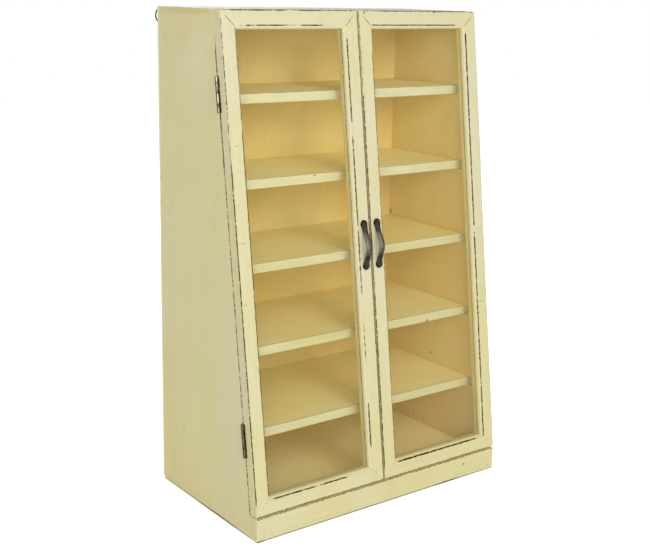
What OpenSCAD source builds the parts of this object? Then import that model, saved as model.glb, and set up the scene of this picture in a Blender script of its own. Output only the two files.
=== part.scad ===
// Free-standing wooden display case: two glazed doors on a front that leans back, a plinth, five shelves
// in dados, a thin back panel, cast bow handles, butt hinges and a screw eye in the back edge of each side.
// Millimetres. +Z is up, +X is to the right of a person who faces the doors, and the doors face -Y. The
// origin is on the floor, under the middle of the overall box.

/* [Case] */
// Width over the two sides
case_w = 480; // [400:1:600]
// Height from the floor to the top
case_h = 754; // [680:1:860]
// Depth at the plinth, from the door faces to the back
base_d = 277; // [240:1:320]
// Depth at the top, from the door faces to the back
top_d = 174; // [150:1:220]
// Thickness of the sides
side_t = 19; // [17:0.5:25]
// Thickness of the top board
top_t = 11; // [8:0.5:18]

/* [Plinth] */
// Height of the plinth board
plinth_h = 37; // [30:1:60]
// How far the case floor lies below the plinth's top edge
floor_drop = 5; // [1:0.5:6]

/* [Shelves] */
// Thickness of the shelves and of the case floor
shelf_t = 14; // [9:0.5:18]
// Distance from the sides' front edges back to a shelf's front edge
shelf_setback = 13.5; // [6:0.5:30]
// Depth of the grooves that carry the shelves
dado_d = 6; // [4:0.5:8]

/* [Back panel] */
// Thickness of the back panel
back_t = 4; // [3:0.5:8]
// Height of the back panel's lower edge above the floor
back_rise = 4; // [2:0.5:20]

/* [Doors] */
// Thickness of the door frames
door_t = 18; // [16:0.5:22]
// Face width of a frame member, moulding included
member_w = 26; // [24:0.5:34]
// Gap between the two doors
meeting_gap = 3; // [2:0.25:4]
// Space between a closed door and the case's front edges
door_stand = 1; // [0.8:0.1:1.6]
// Least gap under a closed door
foot_gap = 0.6; // [0.5:0.1:2]

/* [Moulding] */
// Depth of the small step along a member's face
step_d = 1.2; // [0.6:0.1:2]
// Radius of the quarter round inside the step
ovolo_r = 4.4; // [3:0.1:5]
// Depth from the frame's face to the glass
glass_depth = 8.5; // [7.5:0.1:9.5]
// Width of the rebate that takes the glass
rebate_w = 7; // [5:0.5:9]

/* [Glass] */
// Thickness of the pane
glass_t = 2.5; // [2:0.1:4]
// Space between the pane's edge and the rebate
glass_play = 1; // [0.5:0.1:2]
// Radius of the round edge of the glazing beads
bead_r = 1.5; // [1:0.1:4]

/* [Hinges] */
// Length of a hinge
hinge_l = 50; // [40:1:64]
// Distance from a door's lower end to its lower hinge
lower_hinge_rise = 87; // [50:1:140]
// Distance from a door's upper end to its upper hinge
upper_hinge_drop = 89; // [50:1:140]
// Distance from a side's outer face out to the pin's axis
knuckle_out = 1.3; // [0.6:0.1:2.4]
// Width of a leaf from the pin's axis
leaf_w = 16; // [13:0.5:18]
// Thickness of a leaf
leaf_t = 1.2; // [0.8:0.1:1.6]
// Space between the two closed leaves
leaf_gap = 0.3; // [0.2:0.05:0.6]
// Outer diameter of the knuckles
knuckle_d = 5.5; // [5:0.1:7]
// Length of each end knuckle
end_knuckle_l = 14; // [9:0.5:16]
// Diameter of the hinge pin
pin_d = 2.6; // [2:0.1:3.2]

/* [Handles] */
// Overall length of a handle
handle_l = 76; // [60:1:96]
// Height of the handles' middle above the doors' lower ends
handle_rise = 372; // [250:1:440]
// Distance from a door's meeting edge to the handle's middle line
handle_inset = 11.2; // [9:0.1:13]
// Reach of the handle in front of the door
handle_reach = 13.5; // [12:0.5:22]
// Width of the bow at its middle
bow_w = 9.8; // [7:0.1:12]
// Width of the bow where it meets its ends
bow_foot_w = 8.8; // [6:0.1:10]
// Thickness of the bow at its middle
bow_thick = 4.6; // [4:0.1:6]
// Thickness of the bow where it meets its ends
bow_foot_thick = 4.2; // [3:0.1:5]
// How far the bow's highest point lies below its middle
bow_drop = 3.2; // [0:0.2:6]
// Width of the rounded ends
pad_w = 11.4; // [9:0.1:13]
// Length of the rounded ends
pad_l = 13; // [12:0.5:18]
// Height of the rounded ends
pad_lift = 5.5; // [4:0.5:8]

/* [Screw eyes] */
// Outer diameter of the ring
eye_d = 19; // [14:0.5:26]
// Diameter of the wire
eye_wire = 2.2; // [1.6:0.1:3]
// How far the ring reaches behind the case
eye_reach = 20; // [17:0.5:30]
// Distance from the side's outer face to the ring
eye_inset = 7.5; // [6:0.5:11]
// Distance from the case's top down to the ring's middle
eye_drop = 14; // [13:0.5:60]
// Length of the shank inside the wood
eye_shank_l = 18; // [10:1:30]

/* [Fasteners] */
// Shank diameter of the hinge screws
hinge_screw_d = 2.8; // [2:0.1:3.5]
// Head diameter of the hinge screws
hinge_screw_head_d = 5.4; // [4.5:0.1:6.5]
// Length of the hinge screws
hinge_screw_l = 13; // [8:0.5:16]
// Shank diameter of the handle screws
handle_screw_d = 4; // [3:0.1:4.5]
// Head diameter of the handle screws
handle_screw_head_d = 8; // [6:0.5:9]
// Head height of the handle screws
handle_screw_head_h = 2.4; // [1.5:0.1:3]
// How far the handle screws reach into the handle
handle_screw_bite = 3.2; // [2:0.1:3.6]
// Shank diameter of the plinth nails
nail_d = 2; // [1.4:0.1:2.6]
// Head diameter of the plinth nails
nail_head_d = 3.6; // [2.8:0.1:4.5]
// Length of the plinth nails
nail_l = 42; // [30:1:50]
// Distance from the side's outer face to the plinth nails
nail_inset = 12.5; // [9:0.5:13.5]
// Shank diameter of the back panel's pins
panel_pin_d = 1.6; // [1.2:0.1:2]
// Head diameter of the back panel's pins
panel_pin_head_d = 3.6; // [2.6:0.1:4.5]
// Length of the back panel's pins
panel_pin_l = 20; // [14:1:30]

/* [Clearances] */
// Space around a shank in its hole
hole_play = 0.05; // [0.02:0.01:0.1]
// Space above a shelf in its groove
dado_play = 0.2; // [0.1:0.05:0.5]
// Space between moving hinge parts, and between a knuckle and the wood
knuckle_play = 0.3; // [0.2:0.05:0.5]
// Space around a hinge leaf in its recess
recess_play = 0.2; // [0.1:0.05:0.5]

/* [Hidden] */
$fn = 48;

// Colours of the paint, the bare metals and the glass
cream = [0.9, 0.86, 0.68];
cream_shade = [0.86, 0.8, 0.6];
pewter = [0.33, 0.3, 0.27];
steel = [0.6, 0.6, 0.6];
dull_brass = [0.62, 0.56, 0.4];
antique_brass = [0.36, 0.29, 0.18];
pane_tint = [0.85, 0.92, 0.9, 0.3];

// Angle by which the front leans back
lean = atan((base_d - top_d) / (case_h - plinth_h));
// The case's own front lies this far behind the door faces, square to them
carcass_inset = door_t + door_stand;
// The plinth board fills that space, so its face is flush with the doors' lower ends
plinth_t = carcass_inset / cos(lean);
// Back and front of the case, from the middle of the overall box
back_y = (base_d - eye_reach) / 2;
front_y = back_y - base_d;
panel_face_y = back_y - back_t;
plinth_back_y = front_y + plinth_t;
side_h = case_h - top_t;
inner_half_w = case_w / 2 - side_t;

// Shelves: the floor and the five shelves leave six compartments of one height
shelf_count = 5;
floor_top = plinth_h - floor_drop;
shelf_pitch = (side_h + shelf_t - floor_top) / (shelf_count + 1);

// Doors, in the frame of the leaning front: x, depth behind the door faces, height along the slope
door_w = (case_w - meeting_gap) / 2;
door_lo = (foot_gap + door_t * sin(lean)) / cos(lean);
door_hi = (case_h - plinth_h) / cos(lean);
door_len = door_hi - door_lo;
flat_w = member_w - ovolo_r;
rebate_x = member_w - rebate_w;
bead_front = glass_depth + glass_t;

// Hinges
axis_x = case_w / 2 + knuckle_out;
axis_depth = door_t + door_stand / 2;
lower_hinge_z = door_lo + lower_hinge_rise;
upper_hinge_z = door_hi - upper_hinge_drop - hinge_l;
// Middle line of the leaf's screws, from the pin's axis
leaf_screw_x = (axis_x - case_w / 2 + leaf_w) / 2;
leaf_screw_zs = [hinge_l / 6, hinge_l / 2, hinge_l * 5 / 6];

// Handles
handle_z = door_lo + handle_rise;
handle_screw_z = (handle_l - pad_l) / 2;
bow_half_l = handle_screw_z;
bow_foot_lift = pad_lift / 2;
// How sharply the bow rises from its ends
bow_rise_power = 2.5;
bow_steps = 28;
bow_sides = 20;
pad_sides = 32;
pad_arc_step = 15;

// Nails and pins: the plinth's nails run under the case floor
floor_under = floor_top - shelf_t;
nail_floor_gap = 0.5;
nail_high_z = floor_under - nail_floor_gap - nail_d / 2;
nail_zs = [nail_high_z / 2, nail_high_z];
nail_head_h = 1;
panel_pin_count = 7;
panel_pin_margin = 45;
panel_pin_head_h = 0.8;
cut = 1;

// Y of the plane that lies a given distance behind the door faces, at height z
function front_plane_y(z, inset) = front_y + inset / cos(lean) + (z - plinth_h) * tan(lean);

// Height of a shelf's top, counted from the top of the case
function shelf_top(i) = floor_top + (shelf_count + 1 - i) * shelf_pitch;

// Box between two opposite corners
module block(low, high) {
    translate(low) cube(high - low);
}

// Places what is drawn in the frame of the leaning front
module on_front() {
    translate([0, front_y, plinth_h]) rotate([-lean, 0, 0]) children();
}

// Flips a left-hand piece to the right-hand one
module to_right() {
    mirror([1, 0, 0]) children();
}

// Extrudes an outline drawn in Y and Z along X
module along_x(x_from, length) {
    translate([x_from, 0, 0]) rotate([90, 0, 90]) linear_extrude(length) children();
}

// Shank or hole along Y, from y_from towards +Y
module rod_y(x, y_from, z, d, length) {
    translate([x, y_from, z]) rotate([-90, 0, 0]) cylinder(d = d, h = length);
}

// Upright side board: plumb back, plumb foot behind the plinth, front edge that follows the doors
module side_board() {
    difference() {
        along_x(-case_w / 2, side_t) polygon([
            [plinth_back_y, 0],
            [panel_face_y, 0],
            [panel_face_y, side_h],
            [front_plane_y(side_h, carcass_inset), side_h],
            [plinth_back_y, plinth_h]
        ]);
        for (i = [1 : shelf_count + 1]) dado(shelf_top(i), i > shelf_count ? plinth_back_y : front_y);
        for (z = [lower_hinge_z, upper_hinge_z]) {
            on_front() leaf_recess(z, carcass_inset - cut, axis_depth + leaf_gap / 2 + leaf_t);
            on_front() knuckle_groove(z);
            at_left_hinge(z) leaf_screws(hole_play);
        }
        for (z = nail_zs) rod_y(-case_w / 2 + nail_inset, front_y, z, nail_d + 2 * hole_play, nail_l + cut);
        for (z = side_pin_zs()) side_pin_hole(z);
        eye_hole();
    }
}

// Groove across a side's inner face, open at the front edge
module dado(top, from_y) {
    block(
        [-inner_half_w - dado_d, from_y, top - shelf_t],
        [-inner_half_w + cut, panel_face_y + cut, top + dado_play]
    );
}

// Recess that sinks a hinge leaf into the wood, open at the outer edge
module leaf_recess(z, depth_from, depth_to) {
    block(
        [-case_w / 2 - cut, depth_from, z - recess_play],
        [-axis_x + leaf_w + recess_play, depth_to, z + hinge_l + recess_play]
    );
}

// Round groove along the wood's edge that takes half of a hinge's knuckles
module knuckle_groove(z) {
    translate([-axis_x, axis_depth, z - recess_play])
        cylinder(d = knuckle_d + 2 * knuckle_play, h = hinge_l + 2 * recess_play);
}

// Heights of the pins that hold the back panel to a side
function side_pin_zs() =
    let (low = back_rise + panel_pin_margin, high = side_h - panel_pin_margin)
        [for (i = [0 : panel_pin_count - 1]) low + (high - low) * i / (panel_pin_count - 1)];

module side_pin_hole(z) {
    panel_pin_hole(-(case_w - side_t) / 2, z);
}

module panel_pin_hole(x, z) {
    rod_y(x, back_y - panel_pin_l - cut, z, panel_pin_d + 2 * hole_play, panel_pin_l + 2 * cut);
}

module eye_hole() {
    rod_y(
        -case_w / 2 + eye_inset, back_y - eye_shank_l - hole_play, case_h - eye_drop,
        eye_wire + 2 * hole_play, eye_shank_l + cut
    );
}

module left_side() {
    color(cream) side_board();
}

module right_side() {
    color(cream) to_right() side_board();
}

// Top board, laid over both sides, with its front edge planed to the lean of the doors
module top_board() {
    color(cream) difference() {
        along_x(-case_w / 2, case_w) polygon([
            [front_plane_y(side_h, carcass_inset), side_h],
            [panel_face_y, side_h],
            [panel_face_y, case_h],
            [front_plane_y(case_h, carcass_inset), case_h]
        ]);
        for (x = top_pin_xs()) panel_pin_hole(x, case_h - top_t / 2);
    }
}

function top_pin_xs() = [for (s = [-1, 0, 1]) s * case_w / 3];

// Case floor, in the lowest dados, behind the plinth board
module bottom_board() {
    color(cream_shade) shelf_slab(floor_top, plinth_back_y);
}

module shelf_slab(top, from_y) {
    half_l = inner_half_w + dado_d;
    block([-half_l, from_y, top - shelf_t], [half_l, panel_face_y, top]);
}

// Shelf, set back from the sides' front edges
module shelf(i) {
    color(cream_shade) shelf_slab(shelf_top(i), front_plane_y(shelf_top(i), carcass_inset + shelf_setback));
}

// Thin panel over the back edges of the sides and the top board
module back_panel() {
    color(cream_shade) difference() {
        block([-case_w / 2, panel_face_y, back_rise], [case_w / 2, back_y, case_h]);
        for (z = side_pin_zs()) {
            side_pin_hole(z);
            to_right() side_pin_hole(z);
        }
        for (x = top_pin_xs()) panel_pin_hole(x, case_h - top_t / 2);
        eye_hole();
        to_right() eye_hole();
    }
}

// Plinth board, nailed to the sides' front edges
module plinth_board() {
    color(cream) difference() {
        block([-case_w / 2, front_y, 0], [case_w / 2, plinth_back_y, plinth_h]);
        for (s = [-1, 1], z = nail_zs) {
            x = s * (case_w / 2 - nail_inset);
            rod_y(x, front_y - cut, z, nail_d + 2 * hole_play, plinth_t + 2 * cut);
            rod_y(x, front_y - cut, z, nail_head_d + 2 * hole_play, nail_head_h + cut);
        }
    }
}

module plinth_nails() {
    color(steel) for (s = [-1, 1], z = nail_zs) {
        x = s * (case_w / 2 - nail_inset);
        rod_y(x, front_y, z, nail_head_d, nail_head_h);
        rod_y(x, front_y, z, nail_d, nail_l);
    }
}

// Flat-headed pin that lies along Y, its head on the back panel
module panel_pin(x, z) {
    rod_y(x, back_y, z, panel_pin_head_d, panel_pin_head_h);
    rod_y(x, back_y - panel_pin_l, z, panel_pin_d, panel_pin_l + panel_pin_head_h / 2);
}

module back_panel_pins() {
    color(steel) {
        for (s = [-1, 1], z = side_pin_zs()) panel_pin(s * (case_w - side_t) / 2, z);
        for (x = top_pin_xs()) panel_pin(x, case_h - top_t / 2);
    }
}

// Wire ring in an upright plane, its shank screwed into the side's back edge
module screw_eye() {
    ring_r = (eye_d - eye_wire) / 2;
    ring_y = back_y + eye_reach - eye_d / 2;
    color(steel) translate([-case_w / 2 + eye_inset, 0, case_h - eye_drop]) {
        translate([0, ring_y, 0]) rotate([0, 90, 0])
            rotate_extrude() translate([ring_r, 0]) circle(d = eye_wire);
        rod_y(0, back_y - eye_shank_l, 0, eye_wire, ring_y - ring_r - back_y + eye_shank_l);
    }
}

module screw_eye_left() {
    screw_eye();
}

module screw_eye_right() {
    to_right() screw_eye();
}

// Section of a frame member: x from the member's outer edge, y from its face. A small step and a quarter
// round lead to the glass, and a rebate behind takes the pane.
module member_section() {
    difference() {
        square([member_w, door_t]);
        translate([flat_w, -cut]) square([ovolo_r + cut, step_d + cut]);
        difference() {
            translate([flat_w, step_d - cut]) square([ovolo_r + cut, ovolo_r + cut]);
            translate([flat_w, step_d + ovolo_r]) circle(r = ovolo_r);
        }
        translate([rebate_x, glass_depth]) square([rebate_w + cut, door_t]);
    }
}

// Section of a glazing bead, in the member's own axes
module bead_section() {
    r = min(bead_r, door_t - bead_front, rebate_w);
    difference() {
        translate([rebate_x, bead_front]) square([rebate_w, door_t - bead_front]);
        difference() {
            translate([member_w - r, door_t - r]) square([r + cut, r + cut]);
            translate([member_w - r, door_t - r]) circle(r = r);
        }
    }
}

// Length of a section along Z, mitred at both ends
module mitred(length) {
    intersection() {
        linear_extrude(length) children();
        translate([0, door_t + cut, 0]) rotate([90, 0, 0]) linear_extrude(door_t + 2 * cut)
            polygon([[0, 0], [member_w, member_w], [member_w, length - member_w], [0, length]]);
    }
}

// Places of the four members round the left door, each with its outer edge on the door's edge
module at_outer() {
    translate([-case_w / 2, 0, door_lo]) children();
}

module at_meeting() {
    translate([-meeting_gap / 2, 0, door_hi]) rotate([0, 180, 0]) children();
}

module at_top() {
    translate([-case_w / 2, 0, door_hi]) rotate([0, 90, 0]) children();
}

module at_bottom() {
    translate([-meeting_gap / 2, 0, door_lo]) rotate([0, -90, 0]) children();
}

// Hinge-side stile, recessed for the leaves and the knuckles of its two hinges
module outer_stile() {
    color(cream) on_front() difference() {
        at_outer() mitred(door_len) member_section();
        for (z = [lower_hinge_z, upper_hinge_z]) {
            leaf_recess(z, axis_depth - leaf_gap / 2 - leaf_t, door_t + cut);
            knuckle_groove(z);
            translate([-axis_x, axis_depth, z]) mirror([0, 1, 0]) leaf_screws(hole_play);
        }
    }
}

// Stile at the middle of the case, bored for the handle's screws
module meeting_stile() {
    color(cream) on_front() difference() {
        at_meeting() mitred(door_len) member_section();
        at_handle_screws() rod_y(0, -cut, 0, handle_screw_d + 2 * hole_play, door_t + 2 * cut);
    }
}

module top_rail() {
    color(cream) on_front() at_top() mitred(door_w) member_section();
}

module bottom_rail() {
    color(cream) on_front() at_bottom() mitred(door_w) member_section();
}

module pane() {
    color(pane_tint) on_front() block(
        [-case_w / 2 + rebate_x + glass_play, glass_depth, door_lo + rebate_x + glass_play],
        [-meeting_gap / 2 - rebate_x - glass_play, bead_front, door_hi - rebate_x - glass_play]
    );
}

module bead_outer() {
    color(cream_shade) on_front() at_outer() mitred(door_len) bead_section();
}

module bead_meeting() {
    color(cream_shade) on_front() at_meeting() mitred(door_len) bead_section();
}

module bead_top() {
    color(cream_shade) on_front() at_top() mitred(door_w) bead_section();
}

module bead_bottom() {
    color(cream_shade) on_front() at_bottom() mitred(door_w) bead_section();
}

// The two leaves in the hinge's own axes: the pin's axis is Z, +X runs into the case and +Y towards its back
module leaf_blank(depth_from) {
    block([0, depth_from, 0], [leaf_w, depth_from + leaf_t, hinge_l]);
}

module knuckle(z_from, z_to, extra) {
    translate([0, 0, z_from]) cylinder(d = knuckle_d + 2 * extra, h = z_to - z_from);
}

module pin_bore() {
    translate([0, 0, -cut]) cylinder(d = pin_d + 2 * hole_play, h = hinge_l + 2 * cut);
}

// A leaf's countersunk screws, along Y from its inner face, with extra space round them where they are holes
module leaf_screws(extra) {
    sink = (hinge_screw_head_d - hinge_screw_d) / 2;
    for (dz = leaf_screw_zs) translate([leaf_screw_x, leaf_gap / 2, dz]) rotate([-90, 0, 0]) {
        cylinder(d1 = hinge_screw_head_d + 2 * extra, d2 = hinge_screw_d + 2 * extra, h = sink);
        cylinder(d = hinge_screw_d + 2 * extra, h = hinge_screw_l + extra);
    }
}

// Leaf with the two end knuckles, fixed to the case
module case_leaf() {
    difference() {
        union() {
            difference() {
                leaf_blank(leaf_gap / 2);
                knuckle(end_knuckle_l, hinge_l - end_knuckle_l, knuckle_play);
            }
            knuckle(0, end_knuckle_l, 0);
            knuckle(hinge_l - end_knuckle_l, hinge_l, 0);
        }
        pin_bore();
        leaf_screws(hole_play);
    }
}

// Leaf with the middle knuckle, fixed to the door
module door_leaf() {
    middle_from = end_knuckle_l + knuckle_play;
    middle_to = hinge_l - end_knuckle_l - knuckle_play;
    difference() {
        union() {
            difference() {
                leaf_blank(-leaf_gap / 2 - leaf_t);
                knuckle(-cut, middle_from, knuckle_play);
                knuckle(middle_to, hinge_l + cut, knuckle_play);
            }
            knuckle(middle_from, middle_to, 0);
        }
        pin_bore();
        mirror([0, 1, 0]) leaf_screws(hole_play);
    }
}

module at_left_hinge(z) {
    on_front() translate([-axis_x, axis_depth, z]) children();
}

module left_case_leaf(z) {
    color(antique_brass) at_left_hinge(z) case_leaf();
}

module left_door_leaf(z) {
    color(antique_brass) at_left_hinge(z) door_leaf();
}

module hinge_pin(z) {
    color(steel) at_left_hinge(z) cylinder(d = pin_d, h = hinge_l);
}

module case_screws() {
    for (z = [lower_hinge_z, upper_hinge_z]) at_left_hinge(z) leaf_screws(0);
}

module case_hinge_screws() {
    color(dull_brass) {
        case_screws();
        to_right() case_screws();
    }
}

module door_hinge_screws() {
    color(dull_brass) for (z = [lower_hinge_z, upper_hinge_z])
        at_left_hinge(z) mirror([0, 1, 0]) leaf_screws(0);
}

// Handle: two rounded ends joined by a strap that stays low at first, then bows out and swells a little.
// Along the strap t runs from -1 at its lower end to 1 at its upper end.
module at_handle() {
    translate([-meeting_gap / 2 - handle_inset, 0, handle_z]) children();
}

module at_handle_screws() {
    at_handle() for (s = [-1, 1]) translate([0, 0, s * handle_screw_z]) children();
}

function bow_turn(t) = let (shift = bow_drop / bow_half_l) 90 * (t + shift) / (1 + t * shift);
function bow_rise(t) = pow(max(cos(bow_turn(t)), 0), bow_rise_power);
function bow_lift(t) = bow_foot_lift + (handle_reach - bow_thick / 2 - bow_foot_lift) * bow_rise(t);
function bow_half_w(t) = (bow_foot_w + (bow_w - bow_foot_w) * pow(cos(90 * t), 2)) / 2;
function bow_half_h(t) = (bow_foot_thick + (bow_thick - bow_foot_thick) * pow(cos(90 * t), 2)) / 2;
// Slope of the bow's middle line, as an angle from the door's face, read a little to both sides of t
function bow_tilt(t, near = 0.01) = atan2(bow_lift(t + near) - bow_lift(t - near), 2 * near * bow_half_l);
function bow_ring(t) = [
    for (k = [0 : bow_sides - 1])
        let (a = -360 * k / bow_sides, across = bow_half_w(t) * cos(a), up = bow_half_h(t) * sin(a))
            [across, -bow_lift(t) - up * cos(bow_tilt(t)), t * bow_half_l - up * sin(bow_tilt(t))]
];

module bow() {
    ts = [for (i = [0 : bow_steps]) 2 * i / bow_steps - 1];
    points = [for (t = ts) each bow_ring(t)];
    last = bow_steps * bow_sides;
    faces = concat(
        [[for (k = [0 : bow_sides - 1]) k]],
        [for (i = [0 : bow_steps - 1], k = [0 : bow_sides - 1])
            let (a = i * bow_sides + k, b = i * bow_sides + (k + 1) % bow_sides)
                [b, a, a + bow_sides]],
        [for (i = [0 : bow_steps - 1], k = [0 : bow_sides - 1])
            let (a = i * bow_sides + k, b = i * bow_sides + (k + 1) % bow_sides)
                [b, a + bow_sides, b + bow_sides]],
        [[for (k = [bow_sides - 1 : -1 : 0]) last + k]]
    );
    polyhedron(points, faces);
}

// Rounded end, longer than wide, flat on the door
module pad() {
    pad_arc = [for (a = [0 : pad_arc_step : 90]) [pad_w / 2 * cos(a), pad_lift * sin(a)]];
    hull() for (s = [-1, 1])
        translate([0, 0, s * (pad_l - pad_w) / 2]) rotate([90, 0, 0]) rotate_extrude($fn = pad_sides)
            polygon(concat([[0, 0]], pad_arc));
}

module handle() {
    color(pewter) on_front() at_handle() difference() {
        union() {
            bow();
            for (s = [-1, 1]) translate([0, 0, s * handle_screw_z]) pad();
        }
        for (s = [-1, 1]) translate([0, 0, s * handle_screw_z])
            rod_y(0, -handle_screw_bite - hole_play, 0, handle_screw_d + 2 * hole_play, door_t);
    }
}

// Round-headed screws from behind the meeting stile into the handle's ends
module handle_screws() {
    color(dull_brass) on_front() at_handle_screws() {
        rod_y(0, -handle_screw_bite, 0, handle_screw_d, door_t + handle_screw_bite + cut);
        rod_y(0, door_t, 0, handle_screw_head_d, handle_screw_head_h);
    }
}

left_side();
right_side();
top_board();
bottom_board();
back_panel();
plinth_board();
shelf(1);  // shelf_1
shelf(2);  // shelf_2
shelf(3);  // shelf_3
shelf(4);  // shelf_4
shelf(5);  // shelf_5
screw_eye_left();
screw_eye_right();
plinth_nails();
back_panel_pins();
left_case_leaf(upper_hinge_z);  // case_leaf_left_upper
left_case_leaf(lower_hinge_z);  // case_leaf_left_lower
to_right() left_case_leaf(upper_hinge_z);  // case_leaf_right_upper
to_right() left_case_leaf(lower_hinge_z);  // case_leaf_right_lower
hinge_pin(upper_hinge_z);  // hinge_pin_left_upper
hinge_pin(lower_hinge_z);  // hinge_pin_left_lower
to_right() hinge_pin(upper_hinge_z);  // hinge_pin_right_upper
to_right() hinge_pin(lower_hinge_z);  // hinge_pin_right_lower
case_hinge_screws();
outer_stile();  // left_outer_stile
meeting_stile();  // left_meeting_stile
top_rail();  // left_top_rail
bottom_rail();  // left_bottom_rail
pane();  // left_glass
bead_outer();  // left_bead_outer
bead_meeting();  // left_bead_meeting
bead_top();  // left_bead_top
bead_bottom();  // left_bead_bottom
handle();  // left_handle
handle_screws();  // left_handle_screws
left_door_leaf(upper_hinge_z);  // door_leaf_left_upper
left_door_leaf(lower_hinge_z);  // door_leaf_left_lower
door_hinge_screws();  // left_door_hinge_screws
to_right() outer_stile();  // right_outer_stile
to_right() meeting_stile();  // right_meeting_stile
to_right() top_rail();  // right_top_rail
to_right() bottom_rail();  // right_bottom_rail
to_right() pane();  // right_glass
to_right() bead_outer();  // right_bead_outer
to_right() bead_meeting();  // right_bead_meeting
to_right() bead_top();  // right_bead_top
to_right() bead_bottom();  // right_bead_bottom
to_right() handle();  // right_handle
to_right() handle_screws();  // right_handle_screws
to_right() left_door_leaf(upper_hinge_z);  // door_leaf_right_upper
to_right() left_door_leaf(lower_hinge_z);  // door_leaf_right_lower
to_right() door_hinge_screws();  // right_door_hinge_screws
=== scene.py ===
"""Looks of a painted display case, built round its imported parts."""

import logging
from dataclasses import dataclass, field
from enum import Enum

import bpy
import numpy as np
from bpy.types import Material, Node, NodeSocket, NodeTree, Object
from mathutils import Matrix, Vector


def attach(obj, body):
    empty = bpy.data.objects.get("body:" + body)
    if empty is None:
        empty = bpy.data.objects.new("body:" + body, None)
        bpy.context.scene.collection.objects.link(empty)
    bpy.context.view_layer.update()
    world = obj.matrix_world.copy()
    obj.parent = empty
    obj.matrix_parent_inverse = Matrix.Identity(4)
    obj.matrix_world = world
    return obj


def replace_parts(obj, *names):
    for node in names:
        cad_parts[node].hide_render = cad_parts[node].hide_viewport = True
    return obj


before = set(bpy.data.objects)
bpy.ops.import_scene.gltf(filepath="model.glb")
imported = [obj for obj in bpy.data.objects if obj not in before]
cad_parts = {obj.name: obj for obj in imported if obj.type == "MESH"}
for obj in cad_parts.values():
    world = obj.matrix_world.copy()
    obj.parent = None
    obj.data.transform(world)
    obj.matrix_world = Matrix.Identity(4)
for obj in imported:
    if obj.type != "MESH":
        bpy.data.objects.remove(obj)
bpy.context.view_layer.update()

Array = np.ndarray
Place = tuple[float, float, float]
Colour = tuple[float, float, float, float]
Value = NodeSocket | float | Colour

MM = 0.001
MEMBER_PITCH, BOARD_PITCH = 4.0, 12.0
GUARDS = (0.4, 1.1, 2.4, 4.5)
END_ANGLES = np.radians([84, 66, 48, 30, 12])
SHARP_ANGLE = np.radians(32)
SHARP_STEP = 0.01

logging.basicConfig(level=logging.INFO, format="%(name)s: %(message)s")
log = logging.getLogger("display_case")


def linear(red: float, green: float, blue: float) -> Colour:
    """Colour as the shader reads it, from display values of 0 to 255.

    Args:
        red: Red.
        green: Green.
        blue: Blue.

    Returns:
        The colour, opaque.
    """
    shown = np.array([red, green, blue]) / 255
    light = np.where(shown <= 0.04045, shown / 12.92, ((shown + 0.055) / 1.055) ** 2.4)
    return (*(float(c) for c in light), 1.0)


def ripple(points: Array, amount: float, wave: float, seed: float) -> Array:
    """Slow unevenness of hand-planed wood.

    Formula: along each axis a point moves by the amount times the sine of one phase and the cosine of
    another. Each phase is a weighted sum of the point's coordinates, over the wavelength.

    Args:
        points: Places in millimetres, as rows.
        amount: Largest move along an axis in millimetres.
        wave: Wavelength in millimetres.
        seed: Phase, so that no two boards match.

    Returns:
        The moved points.
    """
    turn = 2 * np.pi / wave
    phase = points @ np.array([[1.0, 0.31, 0.12], [0.23, 0.9, 0.41], [0.17, 0.37, 1.1]]) * turn + seed
    return points + amount * np.sin(phase[:, [1, 2, 0]]) * np.cos(0.6 * phase[:, [2, 0, 1]] + 1.3)


def marks(length: float, pitch: float, guards: tuple[float, ...] = GUARDS) -> Array:
    """Distances along an edge: close together near its ends, then even.

    Args:
        length: Length of the edge in millimetres.
        pitch: Largest step between even marks.
        guards: Distances from each end that get a mark.

    Returns:
        The distances, without the ends themselves.
    """
    near = np.array([g for g in guards if g < 0.4 * length])
    start = near[-1] if len(near) else 0.0
    count = max(int(np.ceil((length - 2 * start) / pitch)), 1)
    middle = np.linspace(start, length - start, count + 1)
    found = np.unique(np.concatenate([near, middle, length - near]))
    return found if len(near) else found[1:-1]


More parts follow.
